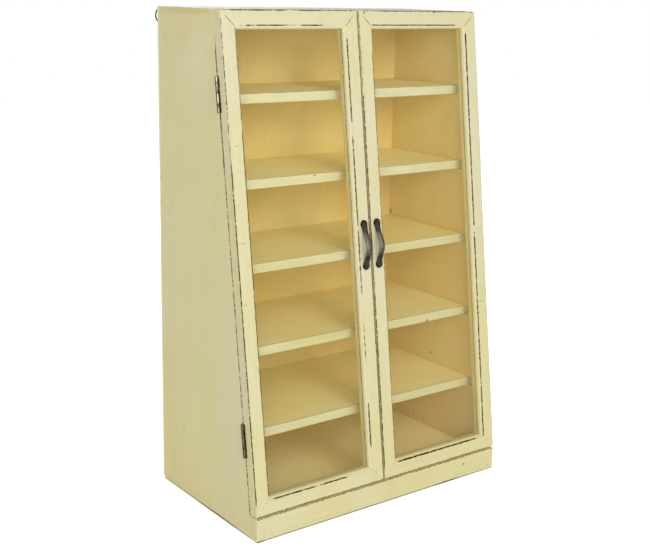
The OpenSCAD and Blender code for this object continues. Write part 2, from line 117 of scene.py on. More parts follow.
@dataclass(frozen=True)
class Outline:
    """Closed outline with rounded corners, and the same points drawn in by the rounding.

    Attributes:
        outer: The outline's points.
        inner: For each point, the place that it shrinks to as the rounding goes to nothing.
    """

    outer: Array
    inner: Array

    @staticmethod
    def rounded(corners: list[tuple[float, float, float]], pitch: float, steps: int = 5) -> "Outline":
        """Outline through corners given as x, y and radius.

        Formula: each corner is an arc tangent to its two edges, swept from the one edge's normal to the
        other's, and the edges between get marks that crowd towards the arcs.

        Args:
            corners: The corners in order, each with its radius in millimetres.
            pitch: Largest distance between points on an edge.
            steps: Steps of each arc.

        Returns:
            The outline.
        """
        data = np.array(corners, float)
        place, radius = data[:, :2], data[:, 2:3]
        back = np.roll(place, 1, 0) - place
        ahead = np.roll(place, -1, 0) - place
        back /= np.linalg.norm(back, axis=1, keepdims=True)
        ahead /= np.linalg.norm(ahead, axis=1, keepdims=True)
        half = np.arccos(np.clip((back * ahead).sum(1, keepdims=True), -1, 1)) / 2
        start, end = place + back * radius / np.tan(half), place + ahead * radius / np.tan(half)
        middle = back + ahead
        centre = place + middle / np.linalg.norm(middle, axis=1, keepdims=True) * radius / np.sin(half)
        sweep = (np.pi - 2 * half)[:, None]
        t = np.linspace(0, 1, steps + 1)[None, :, None]
        first, last = (start - centre)[:, None], (end - centre)[:, None]
        swept = np.sin((1 - t) * sweep) * first + np.sin(t * sweep) * last
        arcs = centre[:, None] + swept / np.sin(sweep)
        outer, inner = [], []
        for i in range(len(data)):
            outer.append(arcs[i])
            inner.append(np.repeat(centre[i:i + 1], steps + 1, 0))
            gap = np.roll(start, -1, 0)[i] - end[i]
            length = float(np.linalg.norm(gap))
            along = marks(length, pitch)[:, None] / length
            outer.append(end[i] + gap * along)
            inner.append(centre[i] + (np.roll(centre, -1, 0)[i] - centre[i]) * along)
        return Outline(np.concatenate(outer), np.concatenate(inner))

    def shrunk(self, share: Array) -> Array:
        """The outline at each share of its rounding: 1 is in full, 0 is drawn in to the arcs' centres."""
        return self.inner[None] + np.asarray(share)[:, None, None] * (self.outer - self.inner)[None]


@dataclass
class Surface:
    """Closed surface in millimetres, with how far the paint is rubbed at each point.

    Attributes:
        points: Places, as rows.
        quads: Four-sided faces, as rows of point numbers.
        caps: Flat end faces, each an array of point numbers.
        rub: How strongly the paint is rubbed at each point, 0 to about 1.
    """

    points: Array
    quads: Array
    caps: list[Array]
    rub: Array

    @staticmethod
    def loft(rings: Array, rub: Array | None = None, capped: bool = True) -> "Surface":
        """Surface of a closed outline carried through its stations.

        Formula: point (i, k) is the k-th point of the outline at station i, each neighbouring four make a
        face, and the first and last outlines are closed.

        Args:
            rings: Stations by outline points by 3.
            rub: Stations by outline points, or None for no rub.
            capped: Whether the first and last outlines get a face.

        Returns:
            The surface, faces outwards.
        """
        stations, count = rings.shape[:2]
        index = np.arange(stations * count).reshape(stations, count)
        beside = np.roll(index, -1, axis=1)
        quads = np.stack([index[:-1], beside[:-1], beside[1:], index[1:]], axis=-1).reshape(-1, 4)
        caps = [index[0][::-1], index[-1]] if capped else []
        worn = np.zeros(stations * count) if rub is None else np.asarray(rub).reshape(-1)
        return Surface(rings.reshape(-1, 3), quads, caps, worn).outward()

    def volume(self) -> float:
        """Volume inside the surface, negative where its faces point inwards.

        Returns:
            The volume in cubic millimetres.
        """
        fans = [np.stack([np.full(len(c) - 2, c[0]), c[1:-1], c[2:]], 1) for c in self.caps]
        corners = np.concatenate([self.quads[:, [0, 1, 2]], self.quads[:, [0, 2, 3]], *fans])
        a, b, c = (self.points[corners[:, k]] for k in range(3))
        return float(np.einsum("ij,ij->i", a, np.cross(b, c)).sum() / 6)

    def outward(self) -> "Surface":
        """The surface with its faces turned outwards.

        Returns:
            This surface, or one with every face turned over.
        """
        if self.volume() >= 0:
            return self
        return Surface(self.points, self.quads[:, ::-1], [c[::-1] for c in self.caps], self.rub)

    def moved(self, scale: Place = (1.0, 1.0, 1.0), shift: Place = (0.0, 0.0, 0.0)) -> "Surface":
        """The surface scaled and then shifted, faces outwards."""
        points = self.points * np.array(scale) + np.array(shift)
        return Surface(points, self.quads, self.caps, self.rub).outward()

    @staticmethod
    def joined(parts: list["Surface"]) -> "Surface":
        """Several surfaces as one.

        Args:
            parts: The surfaces.

        Returns:
            One surface that holds all their points and faces.
        """
        shift = np.cumsum([0] + [len(p.points) for p in parts])
        return Surface(
            np.concatenate([p.points for p in parts]),
            np.concatenate([p.quads + s for p, s in zip(parts, shift)]),
            [c + s for p, s in zip(parts, shift) for c in p.caps],
            np.concatenate([p.rub for p in parts]),
        )

    def to_object(self, name: str, material: Material, sharp: bool = True) -> Object:
        """Mesh object of the surface, at the origin, with its rub as an attribute.

        Args:
            name: Name of the object.
            material: Finish of the whole surface.
            sharp: Whether steep edges are shaded as sharp ones.

        Returns:
            The object, linked to the scene.
        """
        mesh = bpy.data.meshes.new(name)
        faces = [*self.quads.tolist(), *(cap.tolist() for cap in self.caps)]
        mesh.from_pydata((self.points * MM).tolist(), [], faces)
        smooth = np.ones(len(faces), bool)
        smooth[len(self.quads):] = False
        mesh.polygons.foreach_set("use_smooth", smooth)
        if sharp:
            mesh.set_sharp_from_angle(angle=SHARP_ANGLE)
        mesh.attributes.new("rub", "FLOAT", "POINT").data.foreach_set("value", self.rub.astype(np.float32))
        mesh.materials.append(material)
        made = bpy.data.objects.new(name, mesh)
        bpy.context.scene.collection.objects.link(made)
        return made


# Finishes


class Sketch:
    """Node tree of one material, with a short method for each kind of node."""

    def __init__(self, name: str) -> None:
        """Starts an empty material.

        Args:
            name: Name of the material.
        """
        self.material = bpy.data.materials.new(name)
        self.material.use_nodes = True
        self.tree = self.material.node_tree
        self.tree.nodes.clear()
        self.here = self.add("ShaderNodeTexCoord").outputs["Object"]

    def add(self, kind: str, **settings: str | bool) -> Node:
        """New node.

        Args:
            kind: Blender's name of the kind of node.
            **settings: The node's own properties.

        Returns:
            The node.
        """
        node = self.tree.nodes.new(kind)
        for key, value in settings.items():
            setattr(node, key, value)
        return node

    def feed(self, socket: NodeSocket, value: Value) -> None:
        """Links another node's output to a socket, or sets the socket's own value.

        Args:
            socket: The input.
            value: An output, a number or a colour.
        """
        if isinstance(value, NodeSocket):
            self.tree.links.new(value, socket)
        else:
            socket.default_value = value

    def math(self, operation: str, a: Value, b: Value = 0.0, clamp: bool = False) -> NodeSocket:
        """Result of an operation on two numbers.

        Args:
            operation: Blender's name of the operation.
            a: First number.
            b: Second number.
            clamp: Whether the result is held between 0 and 1.

        Returns:
            The result.
        """
        node = self.add("ShaderNodeMath", operation=operation, use_clamp=clamp)
        self.feed(node.inputs[0], a)
        self.feed(node.inputs[1], b)
        return node.outputs[0]

    def plus(self, a: Value, b: Value, clamp: bool = False) -> NodeSocket:
        """Sum of two numbers."""
        return self.math("ADD", a, b, clamp)

    def minus(self, a: Value, b: Value) -> NodeSocket:
        """First number less the second."""
        return self.math("SUBTRACT", a, b)

    def times(self, a: Value, b: Value) -> NodeSocket:
        """Product of two numbers."""
        return self.math("MULTIPLY", a, b)

    def axes(self, vector: NodeSocket) -> tuple[NodeSocket, ...]:
        """The three parts of a vector."""
        node = self.add("ShaderNodeSeparateXYZ")
        self.feed(node.inputs[0], vector)
        return tuple(node.outputs)

    def away(self, place: Place, size: Place) -> NodeSocket:
        """Distance from a place, counted in a size.

        Args:
            place: The place in millimetres.
            size: Size along each axis in millimetres, at which the distance is 1.

        Returns:
            The distance.
        """
        vector = self.here
        for operation, numbers in (("SUBTRACT", place), ("DIVIDE", size)):
            node = self.add("ShaderNodeVectorMath", operation=operation)
            self.feed(node.inputs[0], vector)
            node.inputs[1].default_value = [number * MM for number in numbers]
            vector = node.outputs[0]
        length = self.add("ShaderNodeVectorMath", operation="LENGTH")
        self.feed(length.inputs[0], vector)
        return length.outputs["Value"]

    def stretched(self, vector: NodeSocket, scale: Place, tilt: float = 0.0) -> NodeSocket:
        """Place turned about X and then scaled along each axis.

        Args:
            vector: The place.
            scale: Scale along each axis.
            tilt: Turn about X in radians.

        Returns:
            The new place.
        """
        turn = self.add("ShaderNodeMapping")
        self.feed(turn.inputs["Vector"], vector)
        turn.inputs["Rotation"].default_value = (tilt, 0, 0)
        node = self.add("ShaderNodeMapping")
        self.feed(node.inputs["Vector"], turn.outputs[0])
        node.inputs["Scale"].default_value = scale
        return node.outputs[0]

    def noise(
        self, vector: NodeSocket, scale: float, detail: float = 4, roughness: float = 0.55,
        twist: float = 0.0,
    ) -> NodeSocket:
        """Fractal noise.

        Args:
            vector: Where it is read.
            scale: Waves a metre.
            detail: Number of finer layers.
            roughness: Strength of the finer layers.
            twist: Distortion.

        Returns:
            The noise, 0 to 1.
        """
        node = self.add("ShaderNodeTexNoise")
        self.feed(node.inputs["Vector"], vector)
        settings = {"Scale": scale, "Detail": detail, "Roughness": roughness, "Distortion": twist}
        for key, number in settings.items():
            node.inputs[key].default_value = number
        return node.outputs["Fac"]

    def between(
        self, value: NodeSocket, low: float, high: float, to_low: float = 0.0, to_high: float = 1.0,
    ) -> NodeSocket:
        """Smooth rise from one number to another as a value rises.

        Args:
            value: The value.
            low: Value at which the rise starts.
            high: Value at which it ends.
            to_low: Result up to low.
            to_high: Result from high.

        Returns:
            The result.
        """
        node = self.add("ShaderNodeMapRange", interpolation_type="SMOOTHSTEP")
        self.feed(node.inputs["Value"], value)
        settings = {"From Min": low, "From Max": high, "To Min": to_low, "To Max": to_high}
        for key, number in settings.items():
            node.inputs[key].default_value = number
        return node.outputs["Result"]

    def ramp(self, value: NodeSocket, stops: list[tuple[float, Colour]]) -> NodeSocket:
        """Colour that runs through stops.

        Args:
            value: Place on the ramp, 0 to 1.
            stops: Places and colours.

        Returns:
            The colour.
        """
        node = self.add("ShaderNodeValToRGB")
        self.feed(node.inputs[0], value)
        elements = node.color_ramp.elements
        while len(elements) < len(stops):
            elements.new(0.5)
        for element, (place, colour) in zip(elements, stops):
            element.position, element.color = place, colour
        return node.outputs["Color"]

    def mix(self, share: Value, a: Value, b: Value) -> NodeSocket:
        """One colour turned towards another.

        Args:
            share: How far, 0 to 1.
            a: First colour.
            b: Second colour.

        Returns:
            The colour between them.
        """
        node = self.add("ShaderNodeMix", data_type="RGBA", blend_type="MIX")
        for socket, value in ((0, share), (6, a), (7, b)):
            self.feed(node.inputs[socket], value)
        return node.outputs[2]

    def blend(self, kind: str, first: Node, second: Node, share: NodeSocket | None = None) -> None:
        """Ends the tree in two shaders that are added or mixed.

        Args:
            kind: Kind of the joining node.
            first: First shader.
            second: Second shader.
            share: Share of the second shader, where they are mixed.
        """
        both = self.add(kind)
        if share is not None:
            self.feed(both.inputs[0], share)
        self.feed(both.inputs[-2], first.outputs[0])
        self.feed(both.inputs[-1], second.outputs[0])
        self.feed(self.add("ShaderNodeOutputMaterial").inputs[0], both.outputs[0])

    def rub(self) -> NodeSocket:
        """The piece's own rub attribute."""
        return self.add("ShaderNodeAttribute", attribute_name="rub").outputs["Fac"]

    def bump(self, height: NodeSocket, distance: float) -> NodeSocket:
        """Normal of a surface raised by bumps.

        Args:
            height: Height of the bumps, as a share of the distance.
            distance: The distance in metres.

        Returns:
            The normal.
        """
        node = self.add("ShaderNodeBump")
        self.feed(node.inputs["Height"], height)
        node.inputs["Distance"].default_value = distance
        node.inputs["Strength"].default_value = 1.0
        return node.outputs[0]

    def surface(self, **inputs: Value) -> Material:
        """Ends the tree in one Principled shader.

        Args:
            **inputs: The shader's inputs, with _ for each space.

        Returns:
            The finished material.
        """
        shader = self.add("ShaderNodeBsdfPrincipled")
        for key, value in inputs.items():
            self.feed(shader.inputs[key.replace("_", " ")], value)
        self.feed(self.add("ShaderNodeOutputMaterial").inputs[0], shader.outputs[0])
        return self.material


class Grain(Enum):
    """Way that the fibres and brush strokes run, as the stretch of a noise along each axis."""

    UPRIGHT = (1.0, 1.0, 0.045)
    ACROSS = (0.045, 1.0, 1.0)
    TOP = (0.045, 0.2, 1.0)


class Tone(Enum):
    """Colours of the one cream paint: fresh, yellowed, stained, and thin over the wood.

    OUTSIDE is the paint's own colour. The others are copies of it, set lighter, darker or more golden
    for how light falls on their pieces: painted light.
    """

    OUTSIDE = (linear(236, 229, 190), linear(234, 225, 170), linear(212, 197, 138), linear(150, 132, 72))
    # Painted shade: a darker copy for the shelves' front edges behind the glass.
    EDGE = (linear(226, 219, 178), linear(221, 209, 152), linear(200, 184, 122), linear(150, 132, 72))
    # Painted light: a slightly lighter, yellower copy that lifts the sides and the top board.
    SIDE = (linear(238, 229, 178), linear(235, 225, 166), linear(213, 200, 138), linear(150, 132, 72))
    # Painted light: a golden copy for faces inside the case, for warm light bounced about it.
    INSIDE = (linear(243, 221, 152), linear(239, 211, 130), linear(221, 185, 103), linear(150, 122, 62))
    # Painted light: a lighter golden copy for the shelves inside the case.
    SHELF = (linear(254, 241, 178), linear(253, 235, 162), linear(234, 205, 122), linear(150, 122, 62))
    # Painted light: a still lighter, pinker copy for the case's floor.
    FLOOR = (linear(255, 242, 182), linear(255, 236, 168), linear(243, 208, 134), linear(150, 122, 62))
    # Painted light: a light golden copy that brightens the glazing beads in the stiles' shade.
    BEAD = (linear(255, 238, 172), linear(253, 230, 152), linear(236, 202, 118), linear(150, 120, 58))


# Thin paint and worn wood: scales of their noises in waves a metre, and how uneven a mark's rim is.
TONE_SCALE, CLOUD_SCALE, STREAK_SCALE, FIBRE_SCALE = 7, 26, 190, 900
FLECK_SCALE, CHIP_SCALE, CRUMB_SCALE = 420, 210, 640
RAGGEDNESS = 1.5
# How far the inside's colours, which hold painted light, reach past the sides and the top board's
# underside, and stop before the back.
PAST_SIDE, PAST_TOP, SHORT_OF_BACK = 0.6, 0.3, 1.5
# Behind a shelf's front edge they start and are complete at these depths, in millimetres.
EDGE_FADE = (2.3, 5.5)
PAINT_BUMP, CASTING_BUMP, GRAIN_BUMP = 0.00022, 0.00025, 0.00005
WOOD = ((0.35, linear(42, 30, 4)), (0.55, linear(70, 54, 12)), (0.70, linear(124, 100, 40)))
DUST = linear(232, 229, 214)


@dataclass(frozen=True)
class Mark:
    """Single stain, nick, scratch or painted shadow line, as a ragged ellipsoid of another colour.

    Attributes:
        place: Its middle in millimetres.
        size: Its half sizes along the axes in millimetres.
        colour: Colour at its middle.
        share: How much of the paint it covers.
        soft: Width of its fading rim, as a share of its size.
    """

    place: Place
    size: Place
    colour: Colour = linear(58, 46, 20)
    share: float = 0.9
    soft: float = 0.35

    def over(self, s: Sketch, paint: NodeSocket, ragged: NodeSocket) -> NodeSocket:
        """The paint with the mark on it.

        Formula: the mark covers the places whose distance from its middle, counted in its sizes and made
        uneven by noise, is under 1.

        Args:
            s: The material's tree.
            paint: Colour of the paint.
            ragged: Noise that makes the rim uneven.

        Returns:
            The colour.
        """
        reach = s.plus(s.away(self.place, self.size), s.times(s.minus(ragged, 0.5), RAGGEDNESS))
        return s.mix(s.between(reach, 1 - self.soft, 1 + self.soft, self.share, 0.0), paint, self.colour)


@dataclass(frozen=True)
class PaintedWood:
    """Satin cream paint over dark wood, thin and rubbed through along the arrises.

    Attributes:
        name: Name of the material.
        grain: Way of the fibres.
        tilt: Angle by which the piece leans back, in radians.
        tone: Colours of the outer faces; for some pieces a copy of the paint with painted light.
        cavity: Whether faces that look into the case take the inside's colours, which hold painted light.
        pale_edge: Whether faces as near the front as the shelves' edges keep the outer colours.
        grime: Share of darker stains.
        streaks: Share of darker streaks along the grain.
        inner: Colours of the faces that look into the case: a golden copy of the paint, painted light.
        marks: Its single stains and nicks, and on the side and plinth a painted shadow line at the foot.
        dust: Share of grey dust on faces that look up.
        rub_level: Rub at which the wood comes through.
        gloss: Strength of the paint's reflection, 0.5 for a fresh gloss paint.
    """

    name: str
    grain: Grain = Grain.UPRIGHT
    tilt: float = 0.0
    tone: Tone = Tone.OUTSIDE
    cavity: bool = False
    pale_edge: bool = False
    grime: float = 0.25
    streaks: float = 0.28
    inner: Tone = Tone.INSIDE
    marks: tuple[Mark, ...] = ()
    dust: float = 0.0
    rub_level: float = 0.52
    gloss: float = 0.12

    def behind_doors(self, s: Sketch) -> NodeSocket:
        """Distance behind the plane of the door faces.

        Args:
            s: The material's tree.

        Returns:
            The distance in metres.
        """
        z = SIZES
        cosine, sine = np.cos(z.lean), np.sin(z.lean)
        _, y, height = s.axes(s.here)
        deep = s.minus(s.times(y, float(cosine)), s.times(height, float(sine)))
        return s.minus(deep, float(z.front_y * cosine - z.plinth_h * sine) * MM)

    def inside(self, s: Sketch) -> NodeSocket:
        """Where the faces take the inside's colours, which hold painted light.

        Args:
            s: The material's tree.

        Returns:
            1 between the sides, under the top board and before the back, less the shelves' front edges.
        """
        z = SIZES
        x, y, height = s.axes(s.here)
        share = s.math("LESS_THAN", s.math("ABSOLUTE", x), (z.inner_half_w + PAST_SIDE) * MM)
        share = s.times(share, s.math("LESS_THAN", y, (z.back_y - SHORT_OF_BACK) * MM))
        share = s.times(share, s.math("LESS_THAN", height, (z.side_h + PAST_TOP) * MM))
        if not self.pale_edge:
            return share
        start, end = ((z.inset + z.shelf_setback + depth) * MM for depth in EDGE_FADE)
        return s.times(share, s.between(self.behind_doors(s), start, end))

    def coat(
        self, s: Sketch, tone: Tone, yellowing: NodeSocket, streak: NodeSocket, cloud: NodeSocket,
    ) -> NodeSocket:
        """Colour of unbroken paint.

        Args:
            s: The material's tree.
            tone: The paint's colours.
            yellowing: Share of the yellowed colour.
            streak: Noise of the streaks.
            cloud: Noise of the stains.

        Returns:
            The colour.
        """
        fresh, yellowed, stained, _ = tone.value
        paint = s.mix(yellowing, fresh, yellowed)
        paint = s.mix(s.between(streak, 0.38, 0.78, 0.0, self.streaks), paint, stained)
        return s.mix(s.between(cloud, 0.56, 0.76, 0.0, self.grime), paint, stained)

    def build(self) -> Material:
        """The material: yellowed cream, streaks along the grain, stains, worn lines and a bump.

        Formula: slow noise turns the paint to its yellowed colour, and so does a drift towards the foot and
        the right, which is partly painted shade where the light falls off. Where the piece looks into the
        case, the paint takes the inside's golden copy, which is painted light. The rub attribute times
        ragged noise lets the wood through where it passes the rub level, with a halo of thin paint just
        below it.

        Returns:
            The finished material.
        """
        s = Sketch(self.name)
        along = s.stretched(s.here, self.grain.value, self.tilt)
        x, _, height = s.axes(s.here)
        # Darker, yellower towards the foot and the right: partly the paint's ageing, partly painted shade
        # where the light falls off.
        low = s.between(s.minus(height, s.times(x, 0.8)), 0.0, 0.8, 0.5, -0.45)
        yellowing = s.plus(s.between(s.noise(s.here, TONE_SCALE, 3, 0.5), 0.34, 0.68), low, clamp=True)
        cloud = s.noise(s.here, CLOUD_SCALE, 5, 0.62, 0.4)
        streak = s.noise(along, STREAK_SCALE, 4, 0.6)
        fibre = s.noise(along, FIBRE_SCALE, 3, 0.7)
        fleck = s.noise(s.here, FLECK_SCALE, 3, 0.65)

        paint = self.coat(s, self.tone, yellowing, streak, cloud)
        thin = self.tone.value[3]
        if self.cavity:
            # Painted light: faces that look into the case take the inside's golden copy of the paint.
            inside = self.inside(s)
            paint = s.mix(inside, paint, self.coat(s, self.inner, yellowing, streak, cloud))
        paint = s.mix(s.between(fleck, 0.70, 0.77, 0.0, 0.4), paint, thin)
        if self.dust:
            _, _, up = s.axes(s.add("ShaderNodeNewGeometry").outputs["Normal"])
            up = s.between(up, 0.55, 0.9, 0.0, self.dust)
            paint = s.mix(s.times(up, s.between(cloud, 0.3, 0.65, 0.45, 1.0)), paint, DUST)

        chip = s.noise(s.here, CHIP_SCALE, 6, 0.72, 0.5)
        crumb = s.noise(s.here, CRUMB_SCALE, 4, 0.7)
        for mark in self.marks:
            paint = mark.over(s, paint, chip)
        ragged = s.plus(s.times(chip, 3.0), s.times(crumb, 2.4))
        rubbed = s.times(s.rub(), s.minus(ragged, 1.85))
        halo = s.between(rubbed, self.rub_level - 0.12, self.rub_level)
        bare = s.between(rubbed, self.rub_level - 0.02, self.rub_level + 0.03)
        colour = s.mix(s.times(halo, 0.5), paint, thin)
        colour = s.mix(bare, colour, s.ramp(chip, WOOD))

        relief = s.plus(s.times(streak, 1.6 * self.streaks), s.times(fibre, 0.22))
        relief = s.plus(relief, s.times(cloud, 0.5))
        relief = s.minus(relief, s.times(bare, 1.1))
        rough = s.plus(s.between(cloud, 0.3, 0.7, 0.46, 0.6), s.times(bare, 0.25))
        normal = s.bump(relief, PAINT_BUMP)
        return s.surface(Base_Color=colour, Roughness=rough, Specular_IOR_Level=self.gloss, Normal=normal)


@dataclass(frozen=True)
class CastMetal:
    """Dark hammered casting, bright where fingers rub it and where its rub holds a painted highlight."""

    name: str = "cast_pewter"
    hollow: Colour = linear(10, 8, 5)
    # Colour of rubbed metal, which also carries the handle's painted highlight.
    rubbed: Colour = linear(180, 164, 138)
    stain: Colour = linear(52, 42, 28)
    metallic: float = 0.85

    def build(self) -> Material:
        """The material: near-black hollows, pewter on what stands proud, fine pits.

        Returns:
            The finished material.
        """
        s = Sketch(self.name)
        cloud = s.noise(s.here, 220, 5, 0.6, 0.5)
        pits = s.noise(s.here, 1500, 4, 0.65)
        shine = s.between(s.plus(s.rub(), s.times(s.minus(cloud, 0.5), 0.4)), 0.12, 1.0)
        colour = s.mix(shine, self.hollow, self.rubbed)
        colour = s.mix(s.between(cloud, 0.5, 0.8, 0.0, 0.5), colour, self.stain)
        rough = s.minus(0.5, s.times(shine, 0.14))
        relief = s.plus(s.times(pits, 0.5), s.times(cloud, 0.8))
        normal = s.bump(relief, CASTING_BUMP)
        return s.surface(Base_Color=colour, Metallic=self.metallic, Roughness=rough, Normal=normal)


@dataclass(frozen=True)
class PlainMetal:
    """Dull metal of the small fasteners: a bright colour under a tarnish that comes in patches."""

    name: str
    bright: Colour
    tarnish: Colour
    metallic: float = 0.9
    share: float = 0.6

    def build(self) -> Material:
        """The material: bright metal, tarnish in patches, and a fine grain.

        Returns:
            The finished material.
        """
        s = Sketch(self.name)
        patch = s.noise(s.here, 330, 5, 0.65, 0.3)
        grain = s.noise(s.here, 2200, 3, 0.6)
        spots = s.between(patch, 0.62 - 0.4 * self.share, 0.72 - 0.3 * self.share)
        colour = s.mix(spots, self.bright, self.tarnish)
        rough = s.between(patch, 0.3, 0.7, 0.36, 0.6)
        normal = s.bump(grain, GRAIN_BUMP)
        return s.surface(Base_Color=colour, Metallic=self.metallic, Roughness=rough, Normal=normal)


@dataclass(frozen=True)
class HingeBrass:
    """Dark antique brass, with a painted highlight down the crown of the knuckles."""

    name: str = "antique_brass"
    dark: Colour = linear(50, 40, 22)
    brown: Colour = linear(92, 76, 46)
    # Colour of the painted highlight.
    bright: Colour = linear(226, 212, 184)
    metallic: float = 0.7

    def build(self) -> Material:
        """The material: dark brown metal with a painted highlight where it faces out between front and
        side.

        Formula: how far the surface faces that way is a weighted sum of the size of its normal's X and of
        its normal's -Y. The painted highlight is stronger at the upper hinges than at the lower ones, and
        comes in patches.

        Returns:
            The finished material.
        """
        s = Sketch(self.name)
        patch = s.noise(s.here, 160, 5, 0.65, 0.3)
        grain = s.noise(s.here, 2200, 3, 0.6)
        side, front, _ = s.axes(s.add("ShaderNodeTexCoord").outputs["Normal"])
        facing = s.minus(s.times(s.math("ABSOLUTE", side), 0.68), s.times(front, 0.73))
        _, _, height = s.axes(s.here)
        # Painted highlight: a bright stripe down the knuckles where they face out, stronger on the upper
        # hinges.
        crown = s.times(s.between(facing, 0.9, 0.985), s.between(patch, 0.38, 0.56))
        crown = s.times(crown, s.between(height, 0.3, 0.5, 0.15, 0.8))
        colour = s.mix(crown, s.mix(s.between(patch, 0.3, 0.7), self.dark, self.brown), self.bright)
        rough = s.between(crown, 0, 1, 0.6, 0.42)
        normal = s.bump(grain, GRAIN_BUMP)
        return s.surface(Base_Color=colour, Metallic=self.metallic, Roughness=rough, Normal=normal)


@dataclass(frozen=True)
class PaneGlass:
    """Clear sheet glass with a little dust, which lets the lamps' light through."""

    name: str = "pane_glass"
    tint: Colour = (0.985, 0.995, 0.985, 1.0)
    skin_colour: Colour = linear(226, 224, 208)
    skin_ior: float = 1.35

    def build(self) -> Material:
        """The material: a thin reflecting skin over what lies behind, smeared a little by old wiping.

        Returns:
            The finished material.
        """
        s = Sketch(self.name)
        smear = s.noise(s.stretched(s.here, (1.0, 1.0, 0.3)), 18, 5, 0.6, 0.8)
        clear = s.add("ShaderNodeBsdfTransparent")
        clear.inputs["Color"].default_value = self.tint
        skin = s.add("ShaderNodeBsdfPrincipled")
        skin.inputs["Base Color"].default_value = self.skin_colour
        s.feed(skin.inputs["Roughness"], s.between(smear, 0.35, 0.75, 0.04, 0.12))
        facing = s.add("ShaderNodeFresnel")
        facing.inputs["IOR"].default_value = self.skin_ior
        share = s.plus(s.times(facing.outputs[0], 0.5), s.between(smear, 0.5, 0.8, 0.0, 0.008))
        s.blend("ShaderNodeMixShader", clear, skin, share)
        return s.material


# Sizes and places


@dataclass(frozen=True)
class CaseSizes:
    """Sizes of the whole case in millimetres, as the part's source names them."""

    width: float = 480.0
    height: float = 754.0
    base_d: float = 277.0
    top_d: float = 174.0
    back_y: float = 128.5
    plinth_h: float = 37.0
    side_t: float = 19.0
    top_t: float = 11.0
    back_t: float = 4.0
    back_rise: float = 4.0
    floor_drop: float = 5.0
    shelf_t: float = 14.0
    shelf_setback: float = 13.5
    dado_d: float = 6.0
    dado_play: float = 0.2
    shelf_count: int = 5
    door_t: float = 18.0
    door_stand: float = 1.0
    meeting_gap: float = 3.0
    foot_gap: float = 0.6

    @property
    def lean(self) -> float:
        """Angle by which the front leans back, in radians."""
        return float(np.arctan((self.base_d - self.top_d) / (self.height - self.plinth_h)))

    @property
    def front_y(self) -> float:
        """Y of the plinth's face."""
        return self.back_y - self.base_d

    @property
    def inset(self) -> float:
        """Distance from the door faces back to the case's own front."""
        return self.door_t + self.door_stand

    @property
    def panel_y(self) -> float:
        """Y of the back panel's inner face."""
        return self.back_y - self.back_t

    @property
    def plinth_back_y(self) -> float:
        """Y of the plinth board's back."""
        return self.front_y + self.inset / np.cos(self.lean)

    @property
    def side_h(self) -> float:
        """Height of the sides, up to the top board."""
        return self.height - self.top_t

    @property
    def inner_half_w(self) -> float:
        """Half the width between the sides."""
        return self.width / 2 - self.side_t

    @property
    def door_lo(self) -> float:
        """Rise of the doors' lower ends along the slope."""
        return float((self.foot_gap + self.door_t * np.sin(self.lean)) / np.cos(self.lean))

    @property
    def door_hi(self) -> float:
        """Rise of the doors' upper ends along the slope."""
        return float((self.height - self.plinth_h) / np.cos(self.lean))

    def plane_y(self, z: float | Array, inset: float) -> float | Array:
        """Y of the plane that lies a distance behind the door faces, at height z."""
        return self.front_y + inset / np.cos(self.lean) + (z - self.plinth_h) * np.tan(self.lean)

    def shelf_top(self, number: int) -> float:
        """Height of a shelf's top, counted from the top of the case.

        Args:
            number: 1 for the upper shelf, and one past the last for the floor.

        Returns:
            The height in millimetres.
        """
        floor_top = self.plinth_h - self.floor_drop
        pitch = (self.side_h + self.shelf_t - floor_top) / (self.shelf_count + 1)
        return floor_top + (self.shelf_count + 1 - number) * pitch

    def on_front(self, points: Array) -> Array:
        """Places given as x, depth behind the door faces and rise along the slope, in the case's own axes.

        Args:
            points: Rows of x, depth and rise.

        Returns:
            Rows of x, y and height.
        """
        x, depth, rise = points.T
        cosine, sine = np.cos(self.lean), np.sin(self.lean)
        y = self.front_y + depth * cosine + rise * sine
        return np.stack([x, y, self.plinth_h - depth * sine + rise * cosine], axis=1)


SIZES = CaseSizes()
NAIL_RELIEF = 0.2


class Hand(Enum):
    """Which door or side, as the sign of its X."""

    LEFT = -1
    RIGHT = 1

    @property
    def word(self) -> str:
        """The hand's name in the nodes' names."""
        return self.name.lower()


def arris_rub(distances: Array, strength: float | Array, width: float) -> Array:
    """Rub near the arrises of a body with flat faces.

    Formula: a point on one face lies at an arris where its distance to a second face is nothing, so the
    rub falls off with the second smallest distance, as a bell curve of this width.

    Args:
        distances: Points by faces, each a distance inside the face's plane.
        strength: Rub at the arris, for all points or for each.
        width: Half width of the worn line in millimetres.

    Returns:
        The rub of each point.
    """
    second = np.sort(distances, axis=1)[:, 1]
    return strength * np.exp(-((np.maximum(second, 0) / width) ** 2))


def window(along: Array, start: float, end: float, soft: float = 3.0) -> Array:
    """1 between start and end, and 0 outside, with a soft change."""
    return 0.5 * (np.tanh((along - start) / soft) - np.tanh((along - end) / soft))


@dataclass(frozen=True)
class WornLine:
    """Line along a moulded member where the paint is rubbed through.

    Attributes:
        across: Distance of the line from the member's outer edge, in millimetres.
        depth: Depth of the line behind the member's face.
        width: Half width of the line.
        idle: Rub outside the runs.
        runs: Stretches as (start, end, rub), in the door's own x or rise.
    """

    across: float
    depth: float
    width: float
    idle: float
    runs: tuple[tuple[float, float, float], ...] = ()

    def rub(self, along: Array, across: Array, depth: Array) -> Array:
        """Rub of points given along the member and in its section.

        Args:
            along: Place of each point along the member.
            across: Distance of each from the member's outer edge.
            depth: Depth of each behind the member's face.

        Returns:
            The rub of each point.
        """
        strength = np.full(along.shape, self.idle)
        for start, end, rub in self.runs:
            strength = np.maximum(strength, self.idle + (rub - self.idle) * window(along, start, end))
        reach = np.exp(-(((across - self.across) ** 2 + (depth - self.depth) ** 2) / self.width**2))
        return strength * reach


# Boards of the carcass


